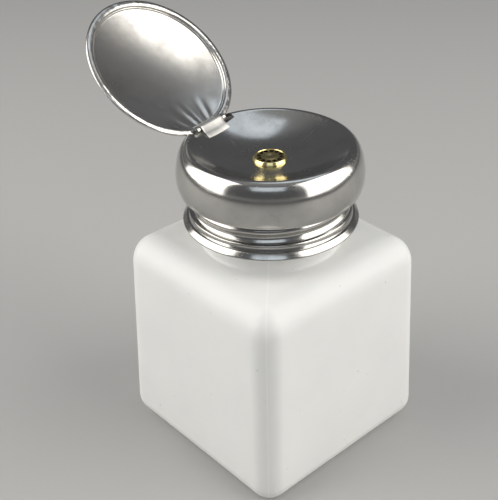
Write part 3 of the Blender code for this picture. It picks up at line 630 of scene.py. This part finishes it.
def body_section(height, drawn_in):
    half = TOP_HALF_WIDTH + BODY_TAPER * (1 - height / BODY_HEIGHT) - drawn_in
    sink = SIDE_SINK * math.sin(math.pi * min(1, max(0, height / BODY_HEIGHT)))
    return rounded_square(half, CORNER_RADIUS - drawn_in, height, sink)


def body_sections(inset, low, high, steps):
    foot, top = BASE_FILLET - inset, TOP_FILLET - inset
    path = arc((-foot, low + foot), foot, -90, 0, steps)
    path += [(0, height) for height in rows_between(low + foot, high - top, BODY_ROWS)]
    path += arc((-top, high - top), top, 0, 90, steps)
    return [body_section(height, inset - outward) for outward, height in path]


print("points in one section:", ring_points)

# %% Sections of the neck


def ridge_height(angle, height):
    # How far the thread stands out of the neck: the nearest pass of the helix decides.
    tallest = 0.0
    for lap in range(math.ceil(THREAD_TURNS) + 1):
        along = angle / math.tau + lap
        if along > THREAD_TURNS:
            continue
        share = along / THREAD_TURNS
        rise = min(1, share / RIDGE_RUNOUT, (1 - share) / RIDGE_RUNOUT)
        off = abs(height - thread_start - THREAD_PITCH * along)
        flank = (RIDGE_FOOT_HALF - off) / (RIDGE_FOOT_HALF - RIDGE_CREST_HALF)
        tallest = max(tallest, THREAD_HEIGHT * rise * min(1, max(0, flank)))
    return tallest


def circle(radius, height, threaded=False):
    made = []
    for step in range(ring_points):
        angle = math.tau * step / ring_points
        reach = radius + ridge_height(angle, height) if threaded else radius
        made.append((reach * math.cos(angle), reach * math.sin(angle), height))
    return made


def neck_sections():
    # Up the outside from the fillet at its foot, over the lip and down the bore.
    low, high = BODY_HEIGHT + NECK_FILLET, mouth_height - MOUTH_ROUND
    bore = NECK_RADIUS - NECK_WALL
    root = arc((NECK_RADIUS + NECK_FILLET, low), NECK_FILLET, -90, -180, SMALL_STEPS + 1)
    lip = arc((NECK_RADIUS - MOUTH_ROUND, high), MOUTH_ROUND, 0, 90, SMALL_STEPS)
    lip += arc((bore + MOUTH_ROUND, high), MOUTH_ROUND, 90, 180, SMALL_STEPS)
    thread = [(NECK_RADIUS, height, True) for height in rows_between(low, high, NECK_ROWS)]
    path = [*root, *thread, *lip, (bore, BODY_HEIGHT - BOTTLE_WALL)]
    return [circle(*point) for point in path]


neck_rings = neck_sections()
print("rings of the neck and its bore:", len(neck_rings))

# %% Skin the bottle and dress it


def shade(mesh, angle):
    mesh.shade_smooth()
    mesh.set_sharp_from_angle(angle=math.radians(angle))


def dress(piece, finish, body, node):
    # The finish goes on, and the piece stands for its node and moves with its body.
    piece.data.materials.clear()
    piece.data.materials.append(finish)
    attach(piece, body)
    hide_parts(node)
    piece.data.calc_loop_triangles()
    print(piece.name, "has", len(piece.data.loop_triangles), "triangles, and stands for", node)


def skin(name, sections):
    shape = bmesh.new()
    rows = [[shape.verts.new(point) for point in section] for section in sections]
    count = len(sections[0])
    for lower, upper in zip(rows, rows[1:]):
        for i in range(count):
            j = (i + 1) % count
            shape.faces.new((lower[i], lower[j], upper[j], upper[i]))
    shape.faces.new(reversed(rows[0]))
    shape.faces.new(rows[-1])
    mesh = bpy.data.meshes.new(name)
    bmesh.ops.recalc_face_normals(shape, faces=shape.faces)
    shape.to_mesh(mesh)
    shape.free()
    shade(mesh, SKIN_ANGLE)
    return add_object(name, mesh)


floor_half = TOP_HALF_WIDTH + BODY_TAPER - BASE_FILLET - BASE_RIM
base = [
    rounded_square(floor_half - BASE_SLOPE * slope, CORNER_RADIUS, BASE_RECESS * rise)
    for slope, rise in BASE_RINGS
]
outside = body_sections(0, 0, BODY_HEIGHT, FILLET_STEPS)
inside = body_sections(BOTTLE_WALL, BOTTLE_FLOOR, BODY_HEIGHT - BOTTLE_WALL, SMALL_STEPS)
bottle = skin("bottle_shell", base + outside + neck_rings + inside[::-1])
dress(bottle, white_skin, "bottle", "bottle")

# %% [markdown]
# Turned sheet.
# Most of this object is round: a profile of radius and height is turned about the pump's axis by
# a Screw modifier, and a Solidify gives a sheet its thickness. When its modifiers are done, the
# evaluated mesh is copied out and moved to its place, so that the object itself stays at the
# origin and a finish that reads the object's place stays put.

# %% Turn, thicken and settle a sheet
TURN_STEPS = 192
MERGE = 0.000005
SHARP_ANGLE = 35


def modify(thing, name, kind, **settings):
    modifier = thing.modifiers.new(name, kind)
    for setting, value in settings.items():
        setattr(modifier, setting, value)


def turned(name, profile, steps=TURN_STEPS):
    # The profile goes down its outer side.
    mesh = bpy.data.meshes.new(name)
    edges = [(i, i + 1) for i in range(len(profile) - 1)]
    mesh.from_pydata([(radius, 0, height) for radius, height in profile], edges, [])
    thing = add_object(name, mesh)
    modify(
        thing, "Turn", "SCREW", axis="Z", steps=steps, render_steps=steps,
        use_merge_vertices=True, merge_threshold=MERGE,
    )
    return thing


def thicken(thing, thickness):
    modify(thing, "Sheet", "SOLIDIFY", thickness=thickness, offset=-1, use_even_offset=True)


def settled(thing, place=Matrix.Identity(4)):
    # A plain mesh of what the modifiers make, moved to its place, on an object at the origin.
    graph = bpy.context.evaluated_depsgraph_get()
    graph.update()
    mesh = bpy.data.meshes.new_from_object(thing.evaluated_get(graph))
    mesh.transform(thing.matrix_world)
    mesh.transform(place)
    name = thing.name
    cutters = [m.object for m in thing.modifiers if m.type == "BOOLEAN"]
    for used in [thing, *cutters]:
        bpy.data.objects.remove(used)
    shade(mesh, SHARP_ANGLE)
    return add_object(name, mesh)


print("a turned piece has", TURN_STEPS, "steps round its axis")

# %% [markdown]
# The collar.
# The collar is one thin sheet: a well that holds the pump, a flat deck, a wall, and a flange that
# flares out and is hemmed under. Its thread was rolled into the wall from outside, so it shows as
# a soft helical bead. The plain sheet is turned first. A small node tree then pushes each point
# of the wall outwards by a cosine wave that climbs with the angle, on the bottle's own pitch.

# %% Sizes of the collar
SHEET = 0.00045
COLLAR_ROOT = 0.02005
# A point is on the wall from this share of its radius outwards.
WALL_SHARE = 0.995
COLLAR_BEAD = 0.00075
COLLAR_SHOULDER = 0.0014
THREAD_FADE = 0.0008
WELL_RADIUS = 0.0094
WELL_DEPTH = 0.00945
WELL_HOLE = 0.0058
WELL_FILLET = 0.0006
WALL_FOOT_HEIGHT = 0.00365
# Radius, and height above the collar's foot, down the flange and out to its hem.
FLANGE = [(0.02113, 0.00315), (0.02120, 0.00243), (0.02149, 0.0017), (0.0219, 0.00155)]
HEM_EDGE_HEIGHT = 0.0004
HEM_ROUNDING = 0.00018
HEM_RETURN = 0.0018
WELL_STEPS = 6
WALL_ROWS = 56
FLARE_STEPS = 8
collar_foot, deck_height = (corner.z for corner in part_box("collar"))
flange_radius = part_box("collar")[1].x
wall_top = deck_height - COLLAR_SHOULDER
wall_foot = collar_foot + WALL_FOOT_HEIGHT
print("collar from", mm(collar_foot), "to", mm(deck_height))

# %% The collar's plain sheet


def flow(points, steps):
    # A smooth curve through the points, with so many steps between each two.
    made = []
    padded = [points[0], *points, points[-1]]
    for before, start, end, after in zip(padded, padded[1:], padded[2:], padded[3:]):
        for step in range(steps):
            t = step / steps
            made.append(tuple(
                0.5 * (
                    2 * b + (c - a) * t + (2 * a - 5 * b + 4 * c - d) * t ** 2
                    + (3 * b - a - 3 * c + d) * t ** 3
                )
                for a, b, c, d in zip(before, start, end, after)
            ))
    return made + [points[-1]]


def rounded_corners(points, reach, steps):
    # The same path, with each inner corner swept by a short curve.
    made = [points[0]]
    for before, corner, after in zip(points, points[1:], points[2:]):
        start, bend, end = Vector(before), Vector(corner), Vector(after)
        start = bend + (start - bend).normalized() * reach
        end = bend + (end - bend).normalized() * reach
        for step in range(steps + 1):
            t = step / steps
            made.append(tuple(start * (1 - t) ** 2 + bend * 2 * t * (1 - t) + end * t ** 2))
    return made + [points[-1]]


def collar_profile():
    floor = deck_height - WELL_DEPTH
    points = [(WELL_HOLE, floor)]
    points += arc((WELL_RADIUS - WELL_FILLET, floor + WELL_FILLET), WELL_FILLET, -90, 0, WELL_STEPS)
    deck_edge = (WELL_RADIUS + WELL_FILLET, deck_height - WELL_FILLET)
    points += arc(deck_edge, WELL_FILLET, 180, 90, WELL_STEPS)
    shoulder = (COLLAR_ROOT - COLLAR_SHOULDER, wall_top)
    points += arc(shoulder, COLLAR_SHOULDER, 90, 0, 2 * WELL_STEPS)
    points += [(COLLAR_ROOT, height) for height in rows_between(wall_top, wall_foot, WALL_ROWS)]
    skirt = [(radius, collar_foot + rise) for radius, rise in FLANGE]
    points += flow([(COLLAR_ROOT, wall_foot), *skirt[:-1]], FLARE_STEPS)[:-1]
    hem = [
        *skirt[-2:], (flange_radius, collar_foot + HEM_EDGE_HEIGHT),
        (flange_radius, collar_foot), (flange_radius - HEM_RETURN, collar_foot),
    ]
    return points + rounded_corners(hem, HEM_ROUNDING, SMALL_STEPS)


plain_collar = turned("collar_sheet", collar_profile())
print("points in the collar's profile:", len(plain_collar.data.vertices))

# %% A node tree that lays the bead on the wall


def new_tree(name, sizes):
    # A geometry tree that takes a mesh and a number for each named size.
    tree = bpy.data.node_groups.new(name, "GeometryNodeTree")
    tree.is_modifier = True
    tree.interface.new_socket("Geometry", in_out="INPUT", socket_type="NodeSocketGeometry")
    for size in sizes:
        tree.interface.new_socket(size, in_out="INPUT", socket_type="NodeSocketFloat")
    tree.interface.new_socket("Geometry", in_out="OUTPUT", socket_type="NodeSocketGeometry")
    bench = Bench(tree)
    return bench, bench.node("NodeGroupInput")


def close_tree(bench, geometry, finish):
    real = bench.node("GeometryNodeRealizeInstances", {0: geometry})
    painted = bench.node("GeometryNodeSetMaterial", {"Geometry": real, "Material": finish})
    painted.into(bench.tree.nodes.new("NodeGroupOutput").inputs[0])
    return bench.tree


def grow(thing, make_tree, sizes):
    # Adds a tree to an object and sets its sizes by their sockets' identifiers.
    modifier = thing.modifiers.new("Nodes", "NODES")
    modifier.node_group = make_tree(sizes)
    for item in modifier.node_group.interface.items_tree:
        if item.in_out == "INPUT" and item.name in sizes:
            modifier[item.identifier] = sizes[item.name]


def bead_tree(sizes):
    bench, given = new_tree("rolled_bead", sizes)
    across, along, height = bench.node("GeometryNodeInputPosition").parts()
    radius = across.length_with(along)
    lap = along.angle_over(across) / math.tau
    bead_height = given.pick("Start") + given.pick("Pitch") * lap
    phase = (height - bead_height) / given.pick("Pitch") * math.tau
    wave = 0.5 + 0.5 * phase.cosine()
    fade = given.pick("Fade")
    fade_top = ((given.pick("Wall top") - height) / fade).share(0.0, 1.0)
    fade_foot = ((height - given.pick("Wall foot") + fade) / fade).share(0.0, 1.0)
    on_wall = radius > given.pick("Least radius")
    push = given.pick("Bead") * wave * fade_top * fade_foot * on_wall
    outward = bench.node("ShaderNodeCombineXYZ", {0: across / radius, 1: along / radius})
    offset = bench.node("ShaderNodeVectorMath", {0: outward, "Scale": push}, operation="SCALE")
    rolled = bench.node("GeometryNodeSetPosition", {"Geometry": given, "Offset": offset})
    return close_tree(bench, rolled, collar_steel)


bead_sizes = {
    "Start": thread_start, "Pitch": THREAD_PITCH, "Bead": COLLAR_BEAD, "Fade": THREAD_FADE,
    "Wall top": wall_top, "Wall foot": wall_foot, "Least radius": COLLAR_ROOT * WALL_SHARE,
}
grow(plain_collar, bead_tree, bead_sizes)
thicken(plain_collar, SHEET)
dress(settled(plain_collar), collar_steel, "pump", "collar")

# %% [markdown]
# The head.
# Dish, crest and drum are one drawn sheet. The dish is flat under the nozzle and rises as a
# parabola, the crest turns over tightly, and the drum falls as a quarter of an ellipse and draws
# in a little at its foot, where the sheet is curled in. Two round cuts across the crest make room
# for the strap's loop and let the lid's lugs turn.

# %% Sizes of the head
HEAD_SHEET = 0.0005
STEM_HOLE = 0.0025
DISH_FLAT_RADIUS = 0.0050
DISH_DEPTH = 0.0047
DISH_ROWS = 40
CREST_RADIUS = 0.0208
CREST_STEPS = 10
SHOULDER_WIDTH = 0.0034
SHOULDER_HEIGHT = 0.0082
SHOULDER_STEPS = 40
DRUM_TAPER = 0.00085
DRUM_ROWS = 10
EDGE_CURL = 0.0008
CURL_END = -95
CURL_STEPS = 8
STRAP_WIDTH = 0.0083
SIDE_GAP = 0.0004
STRAP_RELIEF = 0.0025
LID_RELIEF = 0.0022
LID_RELIEF_HALF = 0.0078
RELIEF_CORNERS = 96
ALONG_PIN = Matrix.Rotation(math.pi / 2, 4, "Y")
hinge = next(joint for joint in frame["joints"] if joint["name"] == "lid_hinge")
hinge_axis = Vector(hinge["axis"])
head_turn = math.atan2(hinge_axis.y, hinge_axis.x)
HEAD_PLACE = Matrix.Rotation(head_turn, 4, "Z")
drum_foot, crest_height = (corner.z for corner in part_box("head_shell"))
dish_floor = crest_height - DISH_DEPTH
pin_place = Vector(hinge["pos_m"])
pin_height = pin_place.z
pin_reach = pin_place.xy.length
at_pin = Matrix.Translation((0, pin_reach, pin_height))
slot_half = STRAP_WIDTH / 2 + SIDE_GAP
widest_radius = CREST_RADIUS + SHOULDER_WIDTH
crest_turn = SHOULDER_WIDTH ** 2 / SHOULDER_HEIGHT
crest_lean = math.atan(2 * DISH_DEPTH / (CREST_RADIUS - DISH_FLAT_RADIUS))
dish_end_radius = CREST_RADIUS - crest_turn * math.sin(crest_lean)
dish_end_rise = DISH_DEPTH - crest_turn * (1 - math.cos(crest_lean))
print("head from", mm(drum_foot), "to", mm(crest_height))
print("turned by", round(math.degrees(head_turn), 1), "degrees")

# %% The head's profile


def dish_height(radius):
    share = max(0, radius - DISH_FLAT_RADIUS) / (dish_end_radius - DISH_FLAT_RADIUS)
    return dish_floor + dish_end_rise * share ** 2


def head_profile():
    # From the stem's hole up the dish, over the crest and down the drum to its curled edge.
    radii = rows_between(DISH_FLAT_RADIUS, dish_end_radius, DISH_ROWS)
    points = [(STEM_HOLE, dish_floor), (DISH_FLAT_RADIUS, dish_floor)]
    points += [(radius, dish_height(radius)) for radius in radii]
    lean = 90 + math.degrees(crest_lean)
    points += arc((CREST_RADIUS, crest_height - crest_turn), crest_turn, lean, 90, CREST_STEPS)
    foot = crest_height - SHOULDER_HEIGHT
    shoulder = (SHOULDER_WIDTH, 90, 0, SHOULDER_STEPS, SHOULDER_HEIGHT)
    points += arc((CREST_RADIUS, foot), *shoulder)[1:]
    edge = drum_foot + EDGE_CURL
    for height in [*rows_between(foot, edge, DRUM_ROWS), edge]:
        share = (foot - height) / (foot - drum_foot)
        points.append((widest_radius - DRUM_TAPER * share ** 2, height))
    curl = (points[-1][0] - EDGE_CURL, edge)
    return points + arc(curl, EDGE_CURL, 0, CURL_END, CURL_STEPS)[1:]


head_points = head_profile()
print("points in the head's profile:", len(head_points))

# %% Draw the head and cut its crest


def cut(thing, other, operation="DIFFERENCE"):
    modify(thing, other.name, "BOOLEAN", operation=operation, solver="EXACT", object=other)


def rod(name, radius, length, corners):
    # A round cutter that lies along the hinge pin.
    bpy.ops.mesh.primitive_cylinder_add(vertices=corners, radius=radius, depth=length)
    cutter = bpy.context.object
    cutter.name = name
    cutter.data.transform(ALONG_PIN)
    return cutter


head = turned("drum_and_dish", head_points)
thicken(head, HEAD_SHEET)
for relief in (
    rod("strap_relief", STRAP_RELIEF, 2 * slot_half, RELIEF_CORNERS),
    rod("lid_relief", LID_RELIEF, 2 * LID_RELIEF_HALF, RELIEF_CORNERS),
):
    relief.data.transform(at_pin)
    cut(head, relief)
dress(settled(head, HEAD_PLACE), drum_steel, "head", "head_shell")

# %% [markdown]
# The nozzle.
# A small turned brass cap stands over the stem. Its face has a dimple in the middle and a ring of
# drilled holes between two low rims. The holes repeat, so a node tree does the drilling: a drill
# is put on each point of a circle, and the blank is cut with all of them at once.

# %% Sizes of the nozzle
NOZZLE_PLATE = 0.0002
NOZZLE_RIM_SLOPE = 0.00045
NOZZLE_FLANK = 0.00078
NOZZLE_ROUNDING = 0.00012
NOZZLE_RECESS_RADIUS = 0.0036
NOZZLE_RECESS_DEPTH = 0.00015
NOZZLE_DIMPLE_RADIUS = 0.0007
NOZZLE_HOLES = 12
NOZZLE_HOLE_RADIUS = 0.00060
NOZZLE_HOLE_CIRCLE = 0.0029
NOZZLE_STEPS = 120
DIMPLE_STEPS = 10
DRILL_CORNERS = 40
nozzle_low, nozzle_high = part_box("nozzle")
nozzle_radius = nozzle_high.x
nozzle_height = nozzle_high.z - nozzle_low.z
print("nozzle:", mm(2 * nozzle_radius), "across")

# %% The nozzle's profile


def nozzle_profile():
    # From the middle of the face out over its two rims, down the side and back under the plate.
    face = nozzle_height - NOZZLE_RECESS_DEPTH
    core = NOZZLE_HOLE_CIRCLE - 2 * NOZZLE_HOLE_RADIUS
    land = core - NOZZLE_HOLE_RADIUS / 2
    recess = NOZZLE_RECESS_RADIUS
    slope = NOZZLE_RECESS_DEPTH
    dimple = [(0, face - slope), (NOZZLE_DIMPLE_RADIUS, face), (land, nozzle_height)]
    ring = [(core, nozzle_height), (core + NOZZLE_HOLE_RADIUS / 2, face), (recess, face)]
    side = [
        (recess + 2 * slope, nozzle_height), (nozzle_radius - NOZZLE_RIM_SLOPE, nozzle_height),
        (nozzle_radius, nozzle_height - NOZZLE_FLANK), (nozzle_radius, 0),
    ]
    points = [*flow(dimple, DIMPLE_STEPS), *ring, (recess + slope, nozzle_height)]
    points += rounded_corners(side, NOZZLE_ROUNDING, SMALL_STEPS)
    under = face - NOZZLE_PLATE
    return points + [(recess, 0), (recess, under), (0, under)]


nozzle_points = nozzle_profile()
print("points in the nozzle's profile:", len(nozzle_points))

# %% Turn the blank and drill it


def drill_tree(sizes):
    bench, given = new_tree("drilled_ring", sizes)
    holes = {"Vertices": NOZZLE_HOLES, "Radius": given.pick("Hole circle")}
    ring = bench.node("GeometryNodeMeshCircle", holes)
    height = given.pick("Height")
    size = {"Vertices": DRILL_CORNERS, "Radius": given.pick("Hole radius"), "Depth": height * 2}
    drill = bench.node("GeometryNodeMeshCylinder", size)
    drills = bench.node("GeometryNodeInstanceOnPoints", {"Points": ring, "Instance": drill})
    lift = bench.node("ShaderNodeCombineXYZ", {2: height})
    raised = bench.node("GeometryNodeTransform", {"Geometry": drills, "Translation": lift})
    solid = bench.node("GeometryNodeRealizeInstances", {0: raised})
    meshes = {"Mesh 1": given, "Mesh 2": solid}
    drilled = bench.node("GeometryNodeMeshBoolean", meshes, operation="DIFFERENCE", solver="EXACT")
    return close_tree(bench, drilled, nozzle_brass)


nozzle = turned("drilled_nozzle", nozzle_points, NOZZLE_STEPS)
drill_sizes = {
    "Hole circle": NOZZLE_HOLE_CIRCLE, "Hole radius": NOZZLE_HOLE_RADIUS, "Height": nozzle_height,
}
grow(nozzle, drill_tree, drill_sizes)
nozzle_place = HEAD_PLACE @ Matrix.Translation((0, 0, nozzle_low.z - NOZZLE_SEAT))
dress(settled(nozzle, nozzle_place), nozzle_brass, "head", "nozzle")

# %% [markdown]
# The hinge.
# A strip of sheet is looped round the pin. Its long end drops on to the dish and lies along it,
# where it is spot welded. Seen from the side it is one flat outline with a hole shaped like an
# eye, so it is drawn as a curve with a width. Its tail is then bent to the dish's bowl, and its
# cut edges are softened by a bevel.

# %% Sizes of the hinge
PIN_RADIUS = 0.00045
PIN_CROWN = 0.00012
PIN_CLEARANCE = 0.00025
STRAP_SHEET = 0.00036
STRAP_NECK = 0.00155
STRAP_TAIL = 0.0020
STRAP_TAPER = 0.0015
STRAP_GAP = 0.00003
STRAP_BANDS = 10
LUG_THICKNESS = 0.0010
EDGE_SOFTNESS = 0.00006
EDGE_ANGLE = 40
LOOP_STEPS = 48
CROWN_STEPS = 4
pin_hole = PIN_RADIUS + PIN_CLEARANCE
pin_frame = HEAD_PLACE @ at_pin
FROM_SIDE = Matrix.Rotation(math.pi / 2, 4, "Z") @ Matrix.Rotation(math.pi / 2, 4, "X")
print("pin", mm(pin_reach), "from the axis,", mm(pin_height), "up")

# %% Outlines of the strap


def strap_lie():
    # Seen from the side, +X away from the pump's axis and +Y up from the pin: the middle of the
    # strap where it meets the dish, and the ways along the dish and up from it there.
    seat = pin_reach - STRAP_NECK
    slope = math.atan2(dish_height(seat) - dish_height(seat - STRAP_TAIL), STRAP_TAIL)
    along = (math.cos(slope), math.sin(slope))
    up = (-along[1], along[0])
    offset = STRAP_GAP + STRAP_SHEET / 2
    neck = (offset * up[0] - STRAP_NECK, offset * up[1] + dish_height(seat) - pin_height)
    return neck, along, up


def strap_tail():
    # The tail's corners, each so far back along the dish and so far up from the strap's middle.
    neck, along, up = strap_lie()
    half = STRAP_SHEET / 2
    corners = (
        (0, half), (STRAP_TAIL - STRAP_TAPER, half), (STRAP_TAIL, EDGE_SOFTNESS - half),
        (STRAP_TAIL, -half), (0, -half),
    )
    return [
        tuple(neck[i] - back * along[i] + rise * up[i] for i in (0, 1)) for back, rise in corners
    ]


def strap_outlines():
    # The strap's outer edge, and the eye that is left inside its loop.
    neck = strap_lie()[0]
    loop = pin_hole + STRAP_SHEET
    half = STRAP_SHEET / 2
    reach = math.hypot(*neck)
    toward_neck = math.atan2(neck[1], neck[0]) + math.tau
    lean = math.asin(loop / math.hypot(reach, half)) - math.atan2(half, reach)
    first = math.degrees(toward_neck + math.pi / 2 - lean)
    last = math.degrees(toward_neck + math.tau - math.pi / 2 + lean)
    outside = arc((0, 0), loop, first, last, LOOP_STEPS) + strap_tail()
    apex = pin_hole / math.sin(lean)
    inside = arc((0, 0), pin_hole, first, last, LOOP_STEPS)
    return outside, inside + [(apex * math.cos(toward_neck), apex * math.sin(toward_neck))]


strap_edge, strap_eye = strap_outlines()
print("the strap's edge has", len(strap_edge), "corners, its eye", len(strap_eye))

# %% Cut the strap from the side and bend it to the dish


def weld(thing):
    shape = bmesh.new()
    shape.from_mesh(thing.data)
    bmesh.ops.remove_doubles(shape, verts=shape.verts, dist=MERGE)
    bmesh.ops.recalc_face_normals(shape, faces=shape.faces)
    shape.to_mesh(thing.data)
    shape.free()


def side_plate(name, outlines, thickness):
    curve = bpy.data.curves.new(name, "CURVE")
    curve.dimensions = "2D"
    curve.fill_mode = "BOTH"
    curve.extrude = thickness / 2
    for outline in outlines:
        spline = curve.splines.new("POLY")
        spline.points.add(len(outline) - 1)
        spline.use_cyclic_u = True
        for target, (across, up) in zip(spline.points, outline):
            target.co = (across, up, 0, 1)
    plate = settled(add_object(name, curve), FROM_SIDE)
    weld(plate)
    return plate


def form_to_dish(strip):
    # The strap is cut into bands across its width, and its tail is bent to the dish's bowl.
    shape = bmesh.new()
    shape.from_mesh(strip.data)
    for band in range(1, STRAP_BANDS):
        side = STRAP_WIDTH * (band / STRAP_BANDS - 0.5)
        parts = [*shape.verts, *shape.edges, *shape.faces]
        bmesh.ops.bisect_plane(shape, geom=parts, plane_co=(side, 0, 0), plane_no=(1, 0, 0))
    for vertex in shape.verts:
        along = pin_reach + vertex.co.y
        rise = dish_height(math.hypot(vertex.co.x, along)) - dish_height(along)
        vertex.co.z += rise * min(1, max(0, -vertex.co.y / STRAP_NECK))
    shape.to_mesh(strip.data)
    shape.free()


def soften(thing, width):
    angle = math.radians(EDGE_ANGLE)
    modify(thing, "Edges", "BEVEL", width=width, segments=2, limit_method="ANGLE", angle_limit=angle)


strap = side_plate("strap_loop", [strap_edge, strap_eye], STRAP_WIDTH)
form_to_dish(strap)
soften(strap, EDGE_SOFTNESS)
dress(settled(strap, pin_frame), strap_steel, "head", "hinge_strap")

# %% Turn the pin
pin_half = slot_half + LUG_THICKNESS
pin_end = arc((PIN_RADIUS - PIN_CROWN, pin_half - PIN_CROWN), PIN_CROWN, 90, 0, CROWN_STEPS)
pin_profile = [(0, pin_half), *pin_end]
pin_profile += [(radius, -height) for radius, height in reversed(pin_profile)]
pin = turned("pin_rod", pin_profile, LOOP_STEPS)
dress(settled(pin, pin_frame @ ALONG_PIN), pin_steel, "lid", "hinge_pin")

# %% [markdown]
# The lid.
# The lid is a shallow dome of thin sheet with a step, a ledge and a rim rolled into a full hem.
# It is turned lying shut. Shallow folds fan out from the hinge, where the press drew the sheet
# unevenly: each point of the dome is lifted by a few waves of its angle round a point behind the
# hinge. Then a slot is cut at the hinge, two lugs are joined on and drilled, and at last the lid
# is swung open about the pin, as far as the photograph shows it.

# %% Sizes of the lid
LID_SHEET = 0.00045
LID_BEAD = 0.0006
LID_HEM = 0.0021
LID_LEDGE = 0.0010
LID_STEP = 0.0004
LID_STEP_WIDTH = 0.0003
LID_RISE = 0.0019
LID_OVERHANG = 0.0003
LID_GAP = 0.0003
LUG_RADIUS = 0.0010
LUG_EMBED = 0.0003
LUG_TOP_REACH = 0.00045
LUG_STEPS = 24
SLOT_REACH = 0.0017
DOME_ROWS = 60
STEP_ROWS = 6
HEM_STEPS = 32
LID_STEPS = 360
FAN_BEHIND = 0.0084
# Where the folds are full and where they are gone: reach from the hinge, and angle in radians.
FOLD_REACHES = (0.0025, 0.0108)
FOLD_ANGLES = (0.4, 0.8)
FOLD_EDGE = 0.0012
# Each wave of the folds: waves round a full turn, phase, and height.
FOLD_WAVES = ((27, 0.4, 0.000048), (43, 2.1, 0.000018), (17, 4.0, 0.00003))
lid_radius = CREST_RADIUS + LID_OVERHANG
dome_edge = lid_radius - 2 * LID_BEAD - LID_LEDGE - LID_STEP_WIDTH
lid_above_pin = crest_height + LID_GAP + LID_BEAD - pin_height
lid_open = math.radians(hinge["range_deg"][1])
print("lid:", mm(2 * lid_radius), "across, open", hinge["range_deg"][1], "degrees")

# %% Turn the lid


def lid_profile():
    # From the crown out to the ledge, round the rim's hem and back underneath.
    top = []
    for row in range(DOME_ROWS + 1):
        share = row / DOME_ROWS
        top.append((dome_edge * share, LID_BEAD + LID_STEP + LID_RISE * (1 - share ** 2)))
    for row in range(1, STEP_ROWS + 1):
        share = row / STEP_ROWS
        rise = 0.5 + 0.5 * math.cos(math.pi * share)
        top.append((dome_edge + LID_STEP_WIDTH * share, LID_BEAD + LID_STEP * rise))
    under = [(radius, height - LID_SHEET) for radius, height in reversed(top)]
    turn_in = math.degrees(math.asin((LID_BEAD - LID_SHEET) / LID_BEAD))
    hem = (LID_HEM / 2, 90, -180 - turn_in, HEM_STEPS, LID_BEAD)
    return top + arc((lid_radius - LID_HEM / 2, 0), *hem) + under


lid = settled(turned("domed_lid", lid_profile(), LID_STEPS))
print("points in the shut lid:", len(lid.data.vertices))

# %% Press its folds


def fading(value, full, gone):
    return min(1, max(0, (gone - value) / (gone - full)))


def press_folds(mesh):
    for vertex in mesh.vertices:
        inward = FAN_BEHIND + pin_reach - vertex.co.y
        angle = math.atan2(vertex.co.x, inward)
        reach = math.hypot(vertex.co.x, inward) - FAN_BEHIND
        share = fading(reach, *FOLD_REACHES) * fading(abs(angle), *FOLD_ANGLES)
        share *= fading(vertex.co.xy.length, dome_edge - FOLD_EDGE, dome_edge)
        waves = (height * math.cos(turns * angle + phase) for turns, phase, height in FOLD_WAVES)
        vertex.co.z += share * sum(waves)


press_folds(lid.data)
print("waves in the folds:", len(FOLD_WAVES))

# %% Cut the slot, join the lugs and drill them


def box_cutter(name, low, high):
    bpy.ops.mesh.primitive_cube_add(size=1)
    cutter = bpy.context.object
    cutter.name = name
    low, high = Vector(low), Vector(high)
    cutter.data.transform(Matrix.Diagonal((*(high - low), 1)))
    cutter.data.transform(Matrix.Translation((low + high) / 2))
    return cutter


def lug(name, side):
    rise = lid_above_pin + LUG_EMBED
    outline = arc((0, 0), LUG_RADIUS, 180, 360, LUG_STEPS)
    outline += [(LUG_TOP_REACH, rise), (-LUG_RADIUS, rise)]
    plate = side_plate(name, [outline], LUG_THICKNESS)
    middle = side * (slot_half + LUG_THICKNESS / 2)
    plate.data.transform(Matrix.Translation((middle, 0, 0)))
    return plate


lid.data.transform(Matrix.Translation((0, -pin_reach, lid_above_pin)))
slot_low = (-slot_half, -SLOT_REACH, -lid_radius)
cut(lid, box_cutter("slot", slot_low, (slot_half, lid_radius, lid_radius)))
for name, side in (("lug_left", -1), ("lug_right", 1)):
    cut(lid, lug(name, side), "UNION")
cut(lid, rod("bore", pin_hole, 4 * STRAP_WIDTH, LOOP_STEPS))
lid = settled(lid)
print("points in the lid with its lugs:", len(lid.data.vertices))

# %% Keep its plan and swing it open


def keep_plan(mesh):
    # The plan of the shut lid, kept as a UV map: the hinge at the top, the front at the bottom.
    plan = mesh.uv_layers.new(name=PLAN_MAP)
    for corner in mesh.loops:
        place = mesh.vertices[corner.vertex_index].co
        across = 0.5 + place.x / (2 * lid_radius)
        plan.uv[corner.index].vector = (across, 1 + place.y / (2 * lid_radius))


keep_plan(lid.data)
lid.data.transform(pin_frame @ Matrix.Rotation(-lid_open, 4, "X"))
dress(lid, lid_steel, "lid", "lid")

# %% [markdown]
# The pump inside.
# Barrel, valves, stem and nuts sit out of sight. Their packed shapes are right as they are, so
# they stay and only get their finishes: brass for what is turned, rubber for the seals, fibre for
# the washer, a milky plastic for the tube and ground steel for the balls.

# %% Finishes of the inner pieces
inner_finishes = {
    pump_brass: ("barrel", "barrel_nut", "gland_nut", "foot_valve", "piston", "stem_nut"),
    stem_brass: ("stem",),
    seal_rubber: ("mouth_gasket", "gland_seal", "piston_seal"),
    valve_steel: ("inlet_ball", "outlet_ball"),
    pin_steel: ("return_spring", "dish_washer"),
    washer_fibre: ("barrel_washer",),
    tube_plastic: ("dip_tube",),
}
for finish, names in inner_finishes.items():
    for name in names:
        frame["nodes"][name].data.materials[0] = finish
    print(finish.name, "on", ", ".join(names))

# %% [markdown] Last, the sizes. The dressed model has to fill the packed model's box and no
# more.

# %% Compare the boxes and finish
dressed_low, dressed_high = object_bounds()
for side, packed, dressed in zip("xyz", cad_high - cad_low, dressed_high - dressed_low):
    print(side, "packed", mm(packed), "dressed", mm(dressed))
